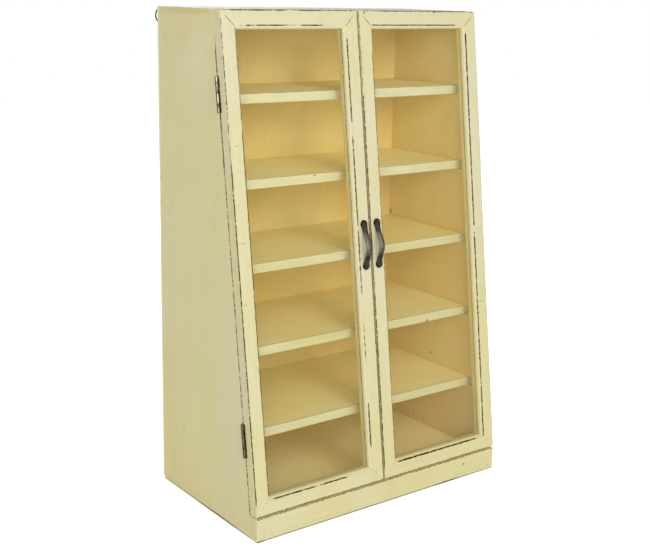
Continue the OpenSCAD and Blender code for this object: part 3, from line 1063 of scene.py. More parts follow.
@dataclass(frozen=True)
class HingeSizes:
    """Sizes of the butt hinges in millimetres.

    Attributes:
        length: Length of a leaf.
        lower_rise: Rise of the lower hinge above the door's lower end.
        upper_drop: Drop of the upper hinge from the door's upper end.
        out: Distance of the pin outside the case's side.
        ahead: Distance of the pin before the case's own front.
        reach: Width of the recess for a leaf.
        leaf_depth: Depth of that recess.
        groove_r: Radius of the room round the barrel.
        play: Play at each end of a leaf.
        worn_width: Half width of the dark ring round the barrel, painted shade of its groove.
        worn: Rub of that ring, which brings the dark wood through.
    """

    length: float = 50.0
    lower_rise: float = 87.0
    upper_drop: float = 89.0
    out: float = 1.3
    ahead: float = 0.5
    reach: float = 14.9
    leaf_depth: float = 0.85
    groove_r: float = 3.05
    play: float = 0.2
    worn_width: float = 1.5
    worn: float = 1.2

    def spans(self) -> Array:
        """Rises at which each recess starts and ends, as one row for each hinge."""
        low = np.array([SIZES.door_lo + self.lower_rise, SIZES.door_hi - self.upper_drop - self.length])
        return np.column_stack([low - self.play, low + self.length + self.play])

    def room(self, out: Array, back: Array, there: Array, rub: Array) -> tuple[Array, Array]:
        """Room for the barrel, and a dark ring of painted shade round it.

        Formula: a point nearer the pin than the groove's radius is pushed out to that radius. The rub
        falls off with the distance from the groove, as a bell curve.

        Args:
            out: Distance of each point from the pin, across the front.
            back: Its distance from the pin, square to the front.
            there: Whether it lies between the recess's ends.
            rub: Its rub so far.

        Returns:
            The new rub, and how many times its old distance each point lies from the pin.
        """
        gap = np.hypot(out, back)
        past = np.maximum(gap - self.groove_r, 0)
        # Painted shade: dark wood colour round the barrel, for the shade in its groove.
        worn = np.maximum(rub, self.worn * there * np.exp(-((past / self.worn_width) ** 2)))
        push = np.where(there & (gap < self.groove_r), self.groove_r / np.maximum(gap, 0.1), 1.0)
        return worn, push


HINGE = HingeSizes()


@dataclass
class Board:
    """Board that runs along X with one section in Y and Z, its arrises rounded over.

    Attributes:
        node: CAD node that the board stands for.
        section: Corners of the section as (y, z), in order.
        x_from: Left end.
        x_to: Right end.
        material: Its finish.
        radius: Rounding of its arrises.
        wear: Rub at the arrises.
        wear_width: Half width of its worn lines.
        worn_above: Height below which no arris is worn.
        ends_worn: Rub at the end faces' arrises, as a share of the wear.
        end_reach: How far from the end faces that share counts.
    """

    node: str
    section: list[tuple[float, float]]
    x_from: float
    x_to: float
    material: Material
    radius: float = 0.8
    wear: float = 0.35
    wear_width: float = 1.2
    worn_above: float = -1.0
    ends_worn: float = 1.0
    end_reach: float = 1.5

    def surface(self) -> Surface:
        """The board's surface.

        Formula: the section's outline is carried along X. Near each end the stations go through a quarter
        turn: a station lies from the end by the rounding times one less the sine of its angle, and the
        outline there keeps the cosine as the share of its own rounding.

        Returns:
            The surface in the case's own axes.
        """
        outline = Outline.rounded([(y, z, self.radius) for y, z in self.section], BOARD_PITCH)
        ends = self.radius * (1 - np.sin(END_ANGLES))
        length = self.x_to - self.x_from
        middle = self.radius + marks(length - 2 * self.radius, BOARD_PITCH)
        along = np.concatenate([ends, middle, length - ends[::-1]])
        along[0], along[-1] = 0.0, length
        drawn = np.cos(END_ANGLES)
        share = np.concatenate([drawn, np.ones(len(middle)), drawn[::-1]])
        rings = outline.shrunk(share)
        x = np.repeat(self.x_from + along, rings.shape[1])
        flat = np.column_stack([x, rings.reshape(-1, 2)])
        distances = self.face_distances(flat)
        at_end = np.exp(-((distances[:, -2:].min(1) / self.end_reach) ** 2))
        wear = self.wear * (1 - (1 - self.ends_worn) * at_end) * (flat[:, 2] > self.worn_above)
        rub = arris_rub(distances, wear, self.wear_width)
        flat = ripple(flat, amount=0.07, wave=170, seed=len(self.node))
        corner = np.array(self.section)
        low, high = (self.x_from, *corner.min(0)), (self.x_to, *corner.max(0))
        flat = np.clip(flat, low, high)
        return Surface.loft(flat.reshape(*rings.shape[:2], 3), rub)

    def face_distances(self, points: Array) -> Array:
        """Distance of each point inside each of the board's faces.

        Args:
            points: Rows of x, y and height.

        Returns:
            Points by faces, the two end faces last.
        """
        corner = np.array(self.section)
        edge = np.roll(corner, -1, 0) - corner
        normal = np.stack([-edge[:, 1], edge[:, 0]], 1) / np.linalg.norm(edge, axis=1, keepdims=True)
        normal *= np.sign(((corner.mean(0) - corner) * normal).sum(1))[:, None]
        sides = ((points[:, None, 1:] - corner[None]) * normal[None]).sum(2)
        return np.column_stack([sides, points[:, 0] - self.x_from, self.x_to - points[:, 0]])

    def build(self) -> Object:
        """Makes the board, lets it ride on the case and hides the CAD node.

        Returns:
            The board's object.
        """
        made = self.surface().to_object(f"{self.node}_board", self.material)
        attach(made, "case")
        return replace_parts(made, self.node)


@dataclass
class SideBoard:
    """Upright side with its leaning front edge, its shelf grooves and the hinge recesses.

    Attributes:
        hand: Left or right side.
        material: Its finish.
        radius: Rounding of its arrises.
        wear: Rub at its arrises.
        worn_runs: Stretches of its front outer arris as start, end, softness and further rub.
        wear_width: Half width of its worn lines.
        flattened: Share of its old depth that a point keeps in a groove, so that no two points coincide.
    """

    hand: Hand
    material: Material
    radius: float = 0.9
    wear: float = 0.34
    worn_runs: tuple[tuple[float, float, float, float], ...] = ((30, 535, 8, 0.36), (535, 699, 5, 0.62))
    wear_width: float = 1.15
    flattened: float = 0.002

    def surface(self) -> Surface:
        """The side's surface.

        Formula: a rectangle with round corners is carried up the height. Its front follows the slope, its
        inner face steps outwards where a shelf's groove crosses it, and its front edge steps back at the
        hinge leaves.

        Returns:
            The surface in the case's own axes.
        """
        z = SIZES
        cosine, sine = np.cos(z.lean), np.sin(z.lean)
        outer, inner, deep = -z.width / 2, -z.inner_half_w, z.plinth_back_y
        corners = [
            (outer, deep, self.radius), (inner, deep, self.radius),
            (inner, z.panel_y, 0.3), (outer, z.panel_y, 0.6),
        ]
        outline = Outline.rounded(corners, BOARD_PITCH)
        tops = [z.shelf_top(number) for number in range(1, z.shelf_count + 2)]
        grooves = [(top - z.shelf_t, top + z.dado_play) for top in tops]
        recesses = [tuple(span) for span in z.plinth_h - z.inset * sine + HINGE.spans() * cosine]
        along, share = self.stations(np.array(grooves + recesses).reshape(-1))
        rings = outline.shrunk(share)
        height = np.repeat(along, rings.shape[1])
        x, y = rings.reshape(-1, 2).T.copy()

        shift = np.maximum(z.plane_y(height, z.inset) - deep, 0)
        near_back, near_front = z.panel_y - 1.0, deep + 1.5
        y = y + shift * np.clip((near_back - y) / (near_back - near_front), 0, 1)
        front = np.maximum(z.plane_y(height, z.inset), deep)
        faces = np.column_stack([x - outer, inner - x, (y - front) * cosine, z.panel_y - y, height])
        runs = sum(rub * window(height, start, end, soft) for start, end, soft, rub in self.worn_runs)
        at_arris = (x < outer + 4) & (y < front + 6)
        rub = arris_rub(faces, self.wear + runs * at_arris, self.wear_width)

        groove = np.any([(height > low) & (height < high) for low, high in grooves], axis=0)
        groove &= (height > z.plinth_h + 5) | (y > deep)
        bottom = inner - z.dado_d
        x = np.where(groove & (x > bottom), bottom + self.flattened * (x - bottom), x)
        leaf = np.any([(height > low) & (height < high) for low, high in recesses], axis=0)
        edge = leaf & (x < outer + HINGE.reach) & (y < front + 1.0)
        y = np.where(edge, np.maximum(y, front + HINGE.leaf_depth / cosine), y)
        out, back = x - outer + HINGE.out, (y - front) * cosine + HINGE.ahead
        rub, push = HINGE.room(out, back, leaf, rub)
        x = outer - HINGE.out + out * push
        y = front + (back * push - HINGE.ahead) / cosine
        made = Surface.loft(np.column_stack([x, y, height]).reshape(*rings.shape[:2], 3), rub)
        return made.moved(scale=(-1.0, 1.0, 1.0)) if self.hand is Hand.RIGHT else made

    def stations(self, steps: Array) -> tuple[Array, Array]:
        """Heights at which the side's outline is carried up.

        Formula: the heights crowd towards both ends, and each sharp step gets a pair closely round it and
        a pair a little further off.

        Args:
            steps: Heights of the grooves' and recesses' ends.

        Returns:
            The heights, and the share of the rounding at each.
        """
        top = SIZES.side_h
        middle = np.unique(np.concatenate([
            self.radius + marks(top - 2 * self.radius, BOARD_PITCH),
            steps - SHARP_STEP, steps + SHARP_STEP, steps - 1.2, steps + 1.2, [SIZES.plinth_h],
        ]).round(4))
        middle = middle[middle < top - 0.1]
        along = np.concatenate([[0.0], self.radius * (1 - np.sin(END_ANGLES[1:])), middle, [top]])
        return along, np.concatenate([np.cos(END_ANGLES), np.ones(len(middle) + 1)])

    def build(self) -> Object:
        """Makes the side and hides its CAD node.

        Returns:
            The side's object.
        """
        made = self.surface().to_object(f"{self.hand.word}_side_board", self.material)
        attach(made, "case")
        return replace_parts(made, f"{self.hand.word}_side")


@dataclass
class Carcass:
    """Fixed boards of the case: sides, top, plinth, back panel, floor and shelves."""

    paint: dict[str, Material]

    def build(self) -> list[Object]:
        """Makes every board of the carcass.

        Returns:
            Their objects.
        """
        z = SIZES
        half, groove, face = z.width / 2, z.inner_half_w + z.dado_d, z.front_y + NAIL_RELIEF
        made = [SideBoard(hand, self.paint["side"]).build() for hand in Hand]
        made.append(Board(
            "top_board",
            [(z.plane_y(z.side_h, z.inset), z.side_h), (z.panel_y, z.side_h), (z.panel_y, z.height),
             (z.plane_y(z.height, z.inset), z.height)],
            -half, half, self.paint["top"], radius=0.3, wear=0.8, wear_width=0.55,
            worn_above=z.height - 1.0, ends_worn=0.65,
        ).build())
        # The plinth's strong arris rub is partly wear and partly painted shade: dark lines under the doors
        # and at the foot.
        made.append(Board(
            "plinth_board",
            [(face, 0), (z.plinth_back_y, 0), (z.plinth_back_y, z.plinth_h), (face, z.plinth_h)],
            -half, half, self.paint["plinth"], radius=1.1, wear=0.78, wear_width=1.1, ends_worn=0.35,
        ).build())
        made.append(Board(
            "back_panel",
            [(z.panel_y, z.back_rise), (z.back_y, z.back_rise), (z.back_y, z.height),
             (z.panel_y, z.height)],
            -half, half, self.paint["panel"], radius=0.5, wear=0.4,
        ).build())
        floor_top = z.shelf_top(z.shelf_count + 1)
        made.append(self.shelf("bottom_board", floor_top, z.plinth_back_y, groove, "floor"))
        for number in range(1, z.shelf_count + 1):
            top = z.shelf_top(number)
            front = z.plane_y(top, z.inset + z.shelf_setback)
            made.append(self.shelf(f"shelf_{number}", top, front, groove))
        return made

    def shelf(self, node: str, top: float, front: float, half_l: float, finish: str = "shelf") -> Object:
        """Makes one shelf, which ends in the sides' grooves.

        Args:
            node: CAD node of the shelf.
            top: Height of its top.
            front: Y of its front edge.
            half_l: Half its length.
            finish: Name of its paint.

        Returns:
            The shelf's object.
        """
        low, back = top - SIZES.shelf_t, SIZES.panel_y
        section = [(front, low), (back, low), (back, top), (front, top)]
        return Board(node, section, -half_l, half_l, self.paint[finish], radius=1.0, wear=0.16).build()


# Doors


@dataclass(frozen=True)
class FrameSection:
    """Section of a door's frame member, in millimetres from its outer edge and its face."""

    width: float = 26.0
    thick: float = 18.0
    step: float = 1.2
    ovolo: float = 4.4
    glass_depth: float = 8.5
    glass_t: float = 2.5
    rebate: float = 7.0
    bead_round: float = 1.5

    def member(self) -> Outline:
        """Flat face, small step, quarter round, straight edge to the glass and the rebate behind it.

        Returns:
            The member's section, closed.
        """
        flat, inner = self.width - self.ovolo, self.width - self.rebate
        turn = np.radians(np.linspace(0, 90, 9))[1:-1]
        quarter = zip(flat + self.ovolo * np.sin(turn), self.step + self.ovolo * (1 - np.cos(turn)))
        curve = [(across, depth, 0.02) for across, depth in quarter]
        corners = [
            (0, 0, 0.9), (flat, 0, 0.45), (flat, self.step, 0.12), *curve,
            (self.width, self.step + self.ovolo, 0.02), (self.width, self.glass_depth, 0.3),
            (inner, self.glass_depth, 0.1), (inner, self.thick, 0.3), (0, self.thick, 0.7),
        ]
        return Outline.rounded(corners, MEMBER_PITCH, steps=3)

    def bead(self) -> Outline:
        """Glazing bead in the rebate, behind the glass, its open corner rounded.

        Returns:
            The bead's section, closed.
        """
        front, inner = self.glass_depth + self.glass_t, self.width - self.rebate
        corners = [
            (inner, front, 0.1), (self.width, front, 0.25), (self.width, self.thick, self.bead_round),
            (inner, self.thick, 0.2),
        ]
        return Outline.rounded(corners, MEMBER_PITCH, steps=6)


class Side(Enum):
    """The four members round a door, each named as its CAD node is."""

    OUTER = "outer_stile"
    MEETING = "meeting_stile"
    TOP = "top_rail"
    BOTTOM = "bottom_rail"

    @property
    def bead(self) -> str:
        """Name of the glazing bead behind the member."""
        return f"bead_{self.name.lower()}"

    @property
    def upright(self) -> bool:
        """Whether the member is a stile."""
        return self in (Side.OUTER, Side.MEETING)


# Where the paint is worn on each member: along its outer arris, the step and the crest of its moulding.
# At its sight edge, by the glass, the rub paints a dark line of shade. Runs are in the door's rise for
# stiles, and in X for rails.
ARRIS, STEP_LINE, CREST, SIGHT = (0.0, 0.0), (21.6, 0.35), (24.2, 2.0), (26.0, 8.3)
# A mitre opens more at the top of a door: above this distance from the top.
UPPER_JOINT = 60
# Painted shade: a dark line along the sight edge, in the crease where the moulding meets the glass.
SIGHT_LINE = WornLine(*SIGHT, 0.90, 0.3)
WEAR: dict[tuple[Hand, Side], tuple[WornLine, ...]] = {
    (Hand.LEFT, Side.OUTER): (
        WornLine(0.5, 0.0, 1.3, 0.30, ((22, 515, 1.0), (515, 712, 0.66))),
        WornLine(0.0, 17.8, 1.15, 0.40, ((0, 510, 0.84), (510, 690, 1.2))),
        WornLine(*STEP_LINE, 0.90, 0.30, ((20, 700, 0.50),)),
        WornLine(*CREST, 1.9, 0.44, ((330, 560, 1.05), (30, 330, 0.95), (560, 700, 0.7))),
    ),
    (Hand.LEFT, Side.MEETING): (
        WornLine(*ARRIS, 1.4, 0.60, ((0, 600, 1.15), (600, 724, 0.95))),
        WornLine(*STEP_LINE, 1.32, 0.20, (
            (560, 684, 1.02), (402, 540, 0.94), (330, 398, 0.98), (298, 330, 0.8), (196, 256, 0.68),
            (60, 130, 1.02),
        )),
        WornLine(*SIGHT, 0.94, 0.74),
    ),
    (Hand.LEFT, Side.TOP): (
        WornLine(*ARRIS, 1.7, 0.50, ((-221, -132, 1.1), (-108, -68, 1.0), (-60, -2, 0.7))),
        WornLine(*STEP_LINE, 1.3, 0.30, (
            (-209, -206, 1.1), (-199, -184, 1.12), (-182, -128, 1.15), (-123, -119, 1.1), (-114, -111, 1.1),
            (-105, -66, 1.12),
        )),
        SIGHT_LINE,
    ),
    (Hand.LEFT, Side.BOTTOM): (
        # Partly wear, partly painted shade of the gap between the door and the plinth.
        WornLine(*ARRIS, 1.4, 0.60, ((-238, -95, 1.0), (-95, -2, 0.8))),
        WornLine(*STEP_LINE, 1.3, 0.26, ((-209, -131, 1.2), (-122, -72, 1.2))),
        SIGHT_LINE,
    ),
    (Hand.RIGHT, Side.OUTER): (
        WornLine(*ARRIS, 1.3, 0.46, ((430, 640, 0.80), (300, 430, 0.7), (20, 160, 0.85))),
        WornLine(*STEP_LINE, 1.45, 0.30, ((548, 690, 1.0), (380, 548, 0.92), (24, 370, 0.90))),
        SIGHT_LINE,
    ),
    (Hand.RIGHT, Side.MEETING): (
        # The whole edge face in the gap between the doors is darkened.
        WornLine(0.0, 9.5, 7.0, 0.58, ((0, 600, 0.9), (600, 724, 0.8))),
        WornLine(*ARRIS, 1.4, 0.50, ((20, 600, 1.0), (600, 724, 0.6))),
        WornLine(*STEP_LINE, 0.90, 0.30),
        WornLine(*CREST, 1.9, 0.44, ((590, 662, 1.1), (30, 590, 0.86))),
    ),
    (Hand.RIGHT, Side.TOP): (
        WornLine(*ARRIS, 1.5, 0.40, ((12, 20, 0.8), (25, 236, 0.92))),
        WornLine(*STEP_LINE, 1.45, 0.26, ((24, 197, 1.04),)),
        SIGHT_LINE,
    ),
    (Hand.RIGHT, Side.BOTTOM): (
        # Partly wear, partly painted shade of the gap between the door and the plinth.
        WornLine(*ARRIS, 1.3, 0.60, ((2, 238, 0.8),)),
        WornLine(*STEP_LINE, 1.6, 0.26, ((30, 188, 1.3), (191, 201, 1.15))),
        SIGHT_LINE,
    ),
}


@dataclass
class Member:
    """Mitred stile, rail or bead of a door, its section carried along the member.

    Attributes:
        hand: Left or right door.
        side: Which of the four members.
        outline: Its section.
        lines: Its worn lines.
        recessed: Whether the hinges' leaves and barrels are let into it.
        mitre_steps: Distances from the mitre of the stations that lie parallel to it.
        square_from: Distance from each end at which the stations are square to the member.
    """

    hand: Hand
    side: Side
    outline: Outline
    lines: tuple[WornLine, ...] = ()
    recessed: bool = False
    mitre_steps: tuple[float, ...] = (0.0, 0.3, 0.8, 1.6, 3.0, 6.0)
    square_from: float = 44.0

    def span(self) -> tuple[float, float]:
        """Where the member starts and ends.

        Returns:
            Both ends: rises for a stile, and places in X for a rail.
        """
        z = SIZES
        if self.side.upright:
            return z.door_lo, z.door_hi
        return tuple(sorted((self.hand.value * z.width / 2, self.hand.value * z.meeting_gap / 2)))

    def stations(self, across: Array) -> Array:
        """Distances from the member's start, by station and section point.

        Formula: near both ends the stations lie parallel to the mitre, so they start at the point's own
        distance from the outer edge. Past the mitres they are square to the member.

        Args:
            across: Distance of each section point from the outer edge.

        Returns:
            Stations by section points.
        """
        low, high = self.span()
        length = high - low
        slanted = across[None] + np.array(self.mitre_steps)[:, None]
        blend = np.linspace(0, 1, 6)[1:-1, None]
        turning = slanted[-1][None] * (1 - blend) + self.square_from * blend
        count = int((length - 2 * self.square_from) / MEMBER_PITCH) + 1
        inner = np.linspace(self.square_from, length - self.square_from, count)
        if self.recessed:
            cuts = (HINGE.spans() - low).reshape(-1)
            inner = np.unique(np.concatenate([inner, cuts - SHARP_STEP, cuts + SHARP_STEP]))
        inner = np.repeat(inner[:, None], len(across), 1)
        first = np.concatenate([slanted, turning])
        return np.concatenate([first, inner, length - first[::-1]])

    def surface(self) -> Surface:
        """The member's surface, in the case's own axes.

        Formula: the section is carried along the member. The rub is the strongest of the worn lines', and
        of a dark seam where the face meets the next member's at the mitre.

        Returns:
            The surface, with room for the hinges where it is recessed.
        """
        z = SIZES
        across, depth = self.outline.outer.T
        along = self.stations(across)
        low, high = self.span()
        across = np.repeat(across[None], len(along), 0)
        depth = np.repeat(depth[None], len(along), 0)
        place = low + along
        rub = np.zeros(along.shape)
        for line in self.lines:
            rub = np.maximum(rub, line.rub(place, across, depth))
        if self.lines:
            mitre = np.minimum(along - across, (high - low) - along - across)
            joint = np.exp(-((mitre / 0.75) ** 2)) * (depth < 1.2) * window(across, 7, 30, 4)
            upper = place > z.door_hi - UPPER_JOINT if self.side.upright else self.side is Side.TOP
            rub = np.maximum(rub, np.where(upper, 0.95, 0.6) * joint)
        if self.recessed:
            for start, end in HINGE.spans():
                there = (place > start) & (place < end) & (across < HINGE.reach)
                depth = np.where(there, np.minimum(depth, z.door_t - HINGE.leaf_depth), depth)
                out, back = across + HINGE.out, z.inset - HINGE.ahead - depth
                rub, push = HINGE.room(out, back, there, rub)
                across, depth = out * push - HINGE.out, z.inset - HINGE.ahead - back * push
        points = self.placed(place, across, depth).reshape(-1, 3)
        seed = 3.0 * self.hand.value + len(self.side.value)
        points = ripple(points, amount=0.05, wave=130, seed=seed)
        return Surface.loft(z.on_front(points).reshape(*along.shape, 3), rub)

    def placed(self, place: Array, across: Array, depth: Array) -> Array:
        """Points as x, depth and rise, from the place along the member and its section.

        Args:
            place: Place along the member.
            across: Distance from its outer edge.
            depth: Depth behind its face.

        Returns:
            The points, with a last axis of 3.
        """
        z = SIZES
        sign = self.hand.value
        match self.side:
            case Side.OUTER:
                return np.stack([sign * (z.width / 2 - across), depth, place], -1)
            case Side.MEETING:
                return np.stack([sign * (z.meeting_gap / 2 + across), depth, place], -1)
            case Side.TOP:
                return np.stack([place, depth, z.door_hi - across], -1)
            case _:
                return np.stack([place, depth, z.door_lo + across], -1)


@dataclass
class Handle:
    """Cast bow handle: two ends covered in small knobs, joined by a strap that rises and swells.

    Attributes:
        hand: Left or right door.
        material: Its finish.
        length: Its length. The further fields are its other sizes in millimetres.
        rise_power: How steeply the bow rises from its feet.
        smooth_share: Half length of the part with finger wear and a painted highlight, as a share of the
            length.
    """

    hand: Hand
    material: Material
    length: float = 76.0
    rise: float = 372.0
    inset: float = 11.2
    reach: float = 13.5
    bow_w: float = 9.8
    foot_w: float = 8.8
    bow_thick: float = 4.6
    foot_thick: float = 4.2
    bow_drop: float = 3.2
    rise_power: float = 2.5
    pad_w: float = 12.2
    pad_l: float = 13.0
    pad_lift: float = 5.5
    knob_pitch: float = 3.1
    knob_lift: float = 1.1
    knob_sink: float = 0.35
    smooth_share: float = 0.185
    door_gap: float = 0.02
    voxel: float = 0.42

    @staticmethod
    def read(mesh: bpy.types.Mesh, key: str) -> Array:
        """A vector of each of a mesh's vertices, as rows.

        Args:
            mesh: The mesh.
            key: Name of the vertices' property.

        Returns:
            The vectors.
        """
        values = np.empty(3 * len(mesh.vertices), np.float32)
        mesh.vertices.foreach_get(key, values)
        return values.reshape(-1, 3).astype(float)

    def bow(self) -> Surface:
        """The strap between the ends.

        Formula: the middle line runs along the handle and rises by a power of the cosine, its peak
        shifted down. The section is a rounded strap, square to the line, whose width and thickness grow
        with the cosine squared.

        Returns:
            The strap, along the handle's own axes.
        """
        half_l = (self.length - self.pad_l) / 2
        t = np.linspace(-1, 1, 71)[:, None]
        turn = np.linspace(0, 2 * np.pi, 37)[None, :-1]
        shift = self.bow_drop / half_l
        rise = np.maximum(np.cos(np.pi / 2 * (t + shift) / (1 + t * shift)), 0) ** self.rise_power
        swell = np.cos(np.pi / 2 * t) ** 2
        foot = self.pad_lift / 2
        lift = foot + (self.reach - self.bow_thick / 2 - foot) * rise
        slope = np.arctan(np.gradient(lift[:, 0], t[:, 0] * half_l))[:, None]
        half_w = (self.foot_w + (self.bow_w - self.foot_w) * swell) / 2
        half_t = (self.foot_thick + (self.bow_thick - self.foot_thick) * swell) / 2
        across = half_w * np.sign(np.cos(turn)) * np.abs(np.cos(turn)) ** 0.85
        up = half_t * np.sin(turn)
        height, along = -lift - up * np.cos(slope), t * half_l - up * np.sin(slope)
        return Surface.loft(np.stack([across, height, along], -1))

    def pad(self, end: int) -> Surface:
        """One rounded end.

        Formula: over a turn and a share of the radius, the dome's height is the square root of one less
        the share squared. Its upper half is moved up and its lower half down, so the end is a little
        longer than wide.

        Args:
            end: 1 for the upper end and -1 for the lower.

        Returns:
            The end, along the handle's own axes.
        """
        turn = np.linspace(0, 2 * np.pi, 49)[None, :-1]
        share = np.concatenate([[1.0, 1.0], np.sin(np.radians(np.linspace(84, 2, 16)))])[:, None]
        x = self.pad_w / 2 * share * np.cos(turn)
        longer = (self.pad_l - self.pad_w) / 2
        rise = self.pad_w / 2 * share * np.sin(turn) + np.sign(np.sin(turn)) * share * longer
        dome = self.pad_lift * np.sqrt(np.maximum(1 - share**2, 0)) + 0.0 * turn
        dome[1] = 0.5
        return Surface.loft(np.stack([x, -dome, end * (self.length - self.pad_l) / 2 + rise], -1))

    def knobs(self, x: Array, rise: Array) -> Array:
        """Height of the knobs, 0 to 1, at places across and along the handle.

        Formula: knobs stand on a lattice of equal triangles. Each is a cap that falls with the square of
        the distance, and they fade out from the ends towards the smooth strap.

        Args:
            x: Places across.
            rise: Places along, from the middle.

        Returns:
            The height at each place.
        """
        row = self.knob_pitch * np.sqrt(0.75)
        j, i = np.meshgrid(np.arange(-16, 17), np.arange(-3, 4))
        knob_x, knob_rise = ((i + 0.5 * (j % 2)) * self.knob_pitch).reshape(-1), (j * row).reshape(-1)
        gap = np.min((x[:, None] - knob_x) ** 2 + (rise[:, None] - knob_rise) ** 2, axis=1)
        cap = np.clip(1 - gap / (0.56 * self.knob_pitch) ** 2, 0, 1)
        fade = np.clip((np.abs(rise) - 0.22 * self.length) / (0.07 * self.length), 0, 1)
        return cap * fade

    def build(self) -> Object:
        """Makes the handle and hides its CAD node.

        The strap and the ends are fused by a voxel remesh and smoothed, as a casting is. Then each point
        moves along its normal by the height of the knobs. The rub is strong on the knobs' crowns, and the
        rub also paints a highlight on the part of the strap that looks up and to the left.

        Returns:
            The handle's object.
        """
        z = SIZES
        parts = Surface.joined([self.bow(), self.pad(-1), self.pad(1)])
        raw = parts.to_object("raw_casting", self.material)
        fuse = raw.modifiers.new("fuse", "REMESH")
        fuse.mode, fuse.voxel_size = "VOXEL", self.voxel * MM
        soften = raw.modifiers.new("soften", "SMOOTH")
        soften.factor, soften.iterations = 0.5, 5
        fused = raw.evaluated_get(bpy.context.evaluated_depsgraph_get()).to_mesh()
        points, normals = (self.read(fused, key) for key in ("co", "normal"))
        points = points / MM
        faces = [tuple(face.vertices) for face in fused.polygons]
        raw.to_mesh_clear()
        bpy.data.objects.remove(raw)
        knob = self.knobs(points[:, 0], points[:, 2]) * np.clip(-points[:, 1] / 0.8, 0, 1)
        points = points + normals * (self.knob_lift * (knob - self.knob_sink * (knob > 0)))[:, None]
        points[:, 1] = np.minimum(points[:, 1], -self.door_gap)
        smooth_part = np.clip(2.0 - np.abs(points[:, 2]) / (self.smooth_share * self.length), 0, 1)
        # Painted highlight: brighter where the strap faces left, up and out, carried by the rub attribute.
        painted_highlight = np.clip(-0.5 * normals[:, 0] + 0.25 * normals[:, 2] - 0.8 * normals[:, 1], 0, 1)
        rub = 0.95 * knob**8 + smooth_part * (0.26 + 0.30 * painted_highlight**3)
        middle = np.array([self.hand.value * (z.meeting_gap / 2 + self.inset), 0.0, z.door_lo + self.rise])
        casting = Surface(z.on_front(points + middle), np.array(faces), [], rub)
        made = casting.to_object(f"{self.hand.word}_bow_handle", self.material, sharp=False)
        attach(made, f"{self.hand.word}_door")
        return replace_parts(made, f"{self.hand.word}_handle")


@dataclass
class Door:
    """One glazed door: four mitred members, four glazing beads and the handle."""

    hand: Hand
    paint: dict[str, Material]
    metal: Material
    section: FrameSection = field(default_factory=FrameSection)

    def build(self) -> list[Object]:
        """Makes the door's pieces, which all ride on its body.

        Returns:
            Their objects.
        """
        body = f"{self.hand.word}_door"
        made = []
        for side in Side:
            way = "stile" if side.upright else "rail"
            frame_member = Member(
                self.hand, side, self.section.member(), WEAR[self.hand, side], recessed=side is Side.OUTER)
            bead = Member(self.hand, side, self.section.bead())
            for member, node, finish in ((frame_member, side.value, way), (bead, side.bead, f"bead_{way}")):
                piece = member.surface().to_object(f"{self.hand.word}_{node}_moulded", self.paint[finish])
                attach(piece, body)
                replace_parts(piece, f"{self.hand.word}_{node}")
                made.append(piece)
        made.append(Handle(self.hand, self.metal).build())
        return made


# Small metal pieces


def turned(profile: Array, steps: int = 40) -> Surface:
    """Surface of revolution about Y.

    Formula: each point of the profile, given as radius and place along the axis, goes round a full
    circle.

    Args:
        profile: Rows of radius and distance along the axis, from one end to the other.
        steps: Steps round the axis.

    Returns:
        The surface, faces outwards.
    """
    turn = np.linspace(0, 2 * np.pi, steps + 1)[None, :-1]
    radius, along = profile[:, :1], profile[:, 1:2]
    return Surface.loft(np.stack([radius * np.cos(turn), along + 0.0 * turn, radius * np.sin(turn)], -1))


def tube(path: Array, radius: Array, sides: int = 20) -> Surface:
    """Round tube along a path that lies in a plane of constant X.

    Formula: at each path point a circle stands square to the path's direction, in the plane of X and the
    path's own normal.

    Args:
        path: Points of the middle line.
        radius: Radius at each point.
        sides: Points round the tube.

    Returns:
        The tube with closed ends.
    """
    ahead = np.gradient(path, axis=0)
    ahead /= np.linalg.norm(ahead, axis=1, keepdims=True)
    wide = np.array([1.0, 0.0, 0.0])
    up = np.cross(ahead, wide)
    turn = np.linspace(0, 2 * np.pi, sides + 1)[:-1][None, :, None]
    rings = path[:, None] + radius[:, None, None] * (np.cos(turn) * wide + np.sin(turn) * up[:, None])
    return Surface.loft(rings)


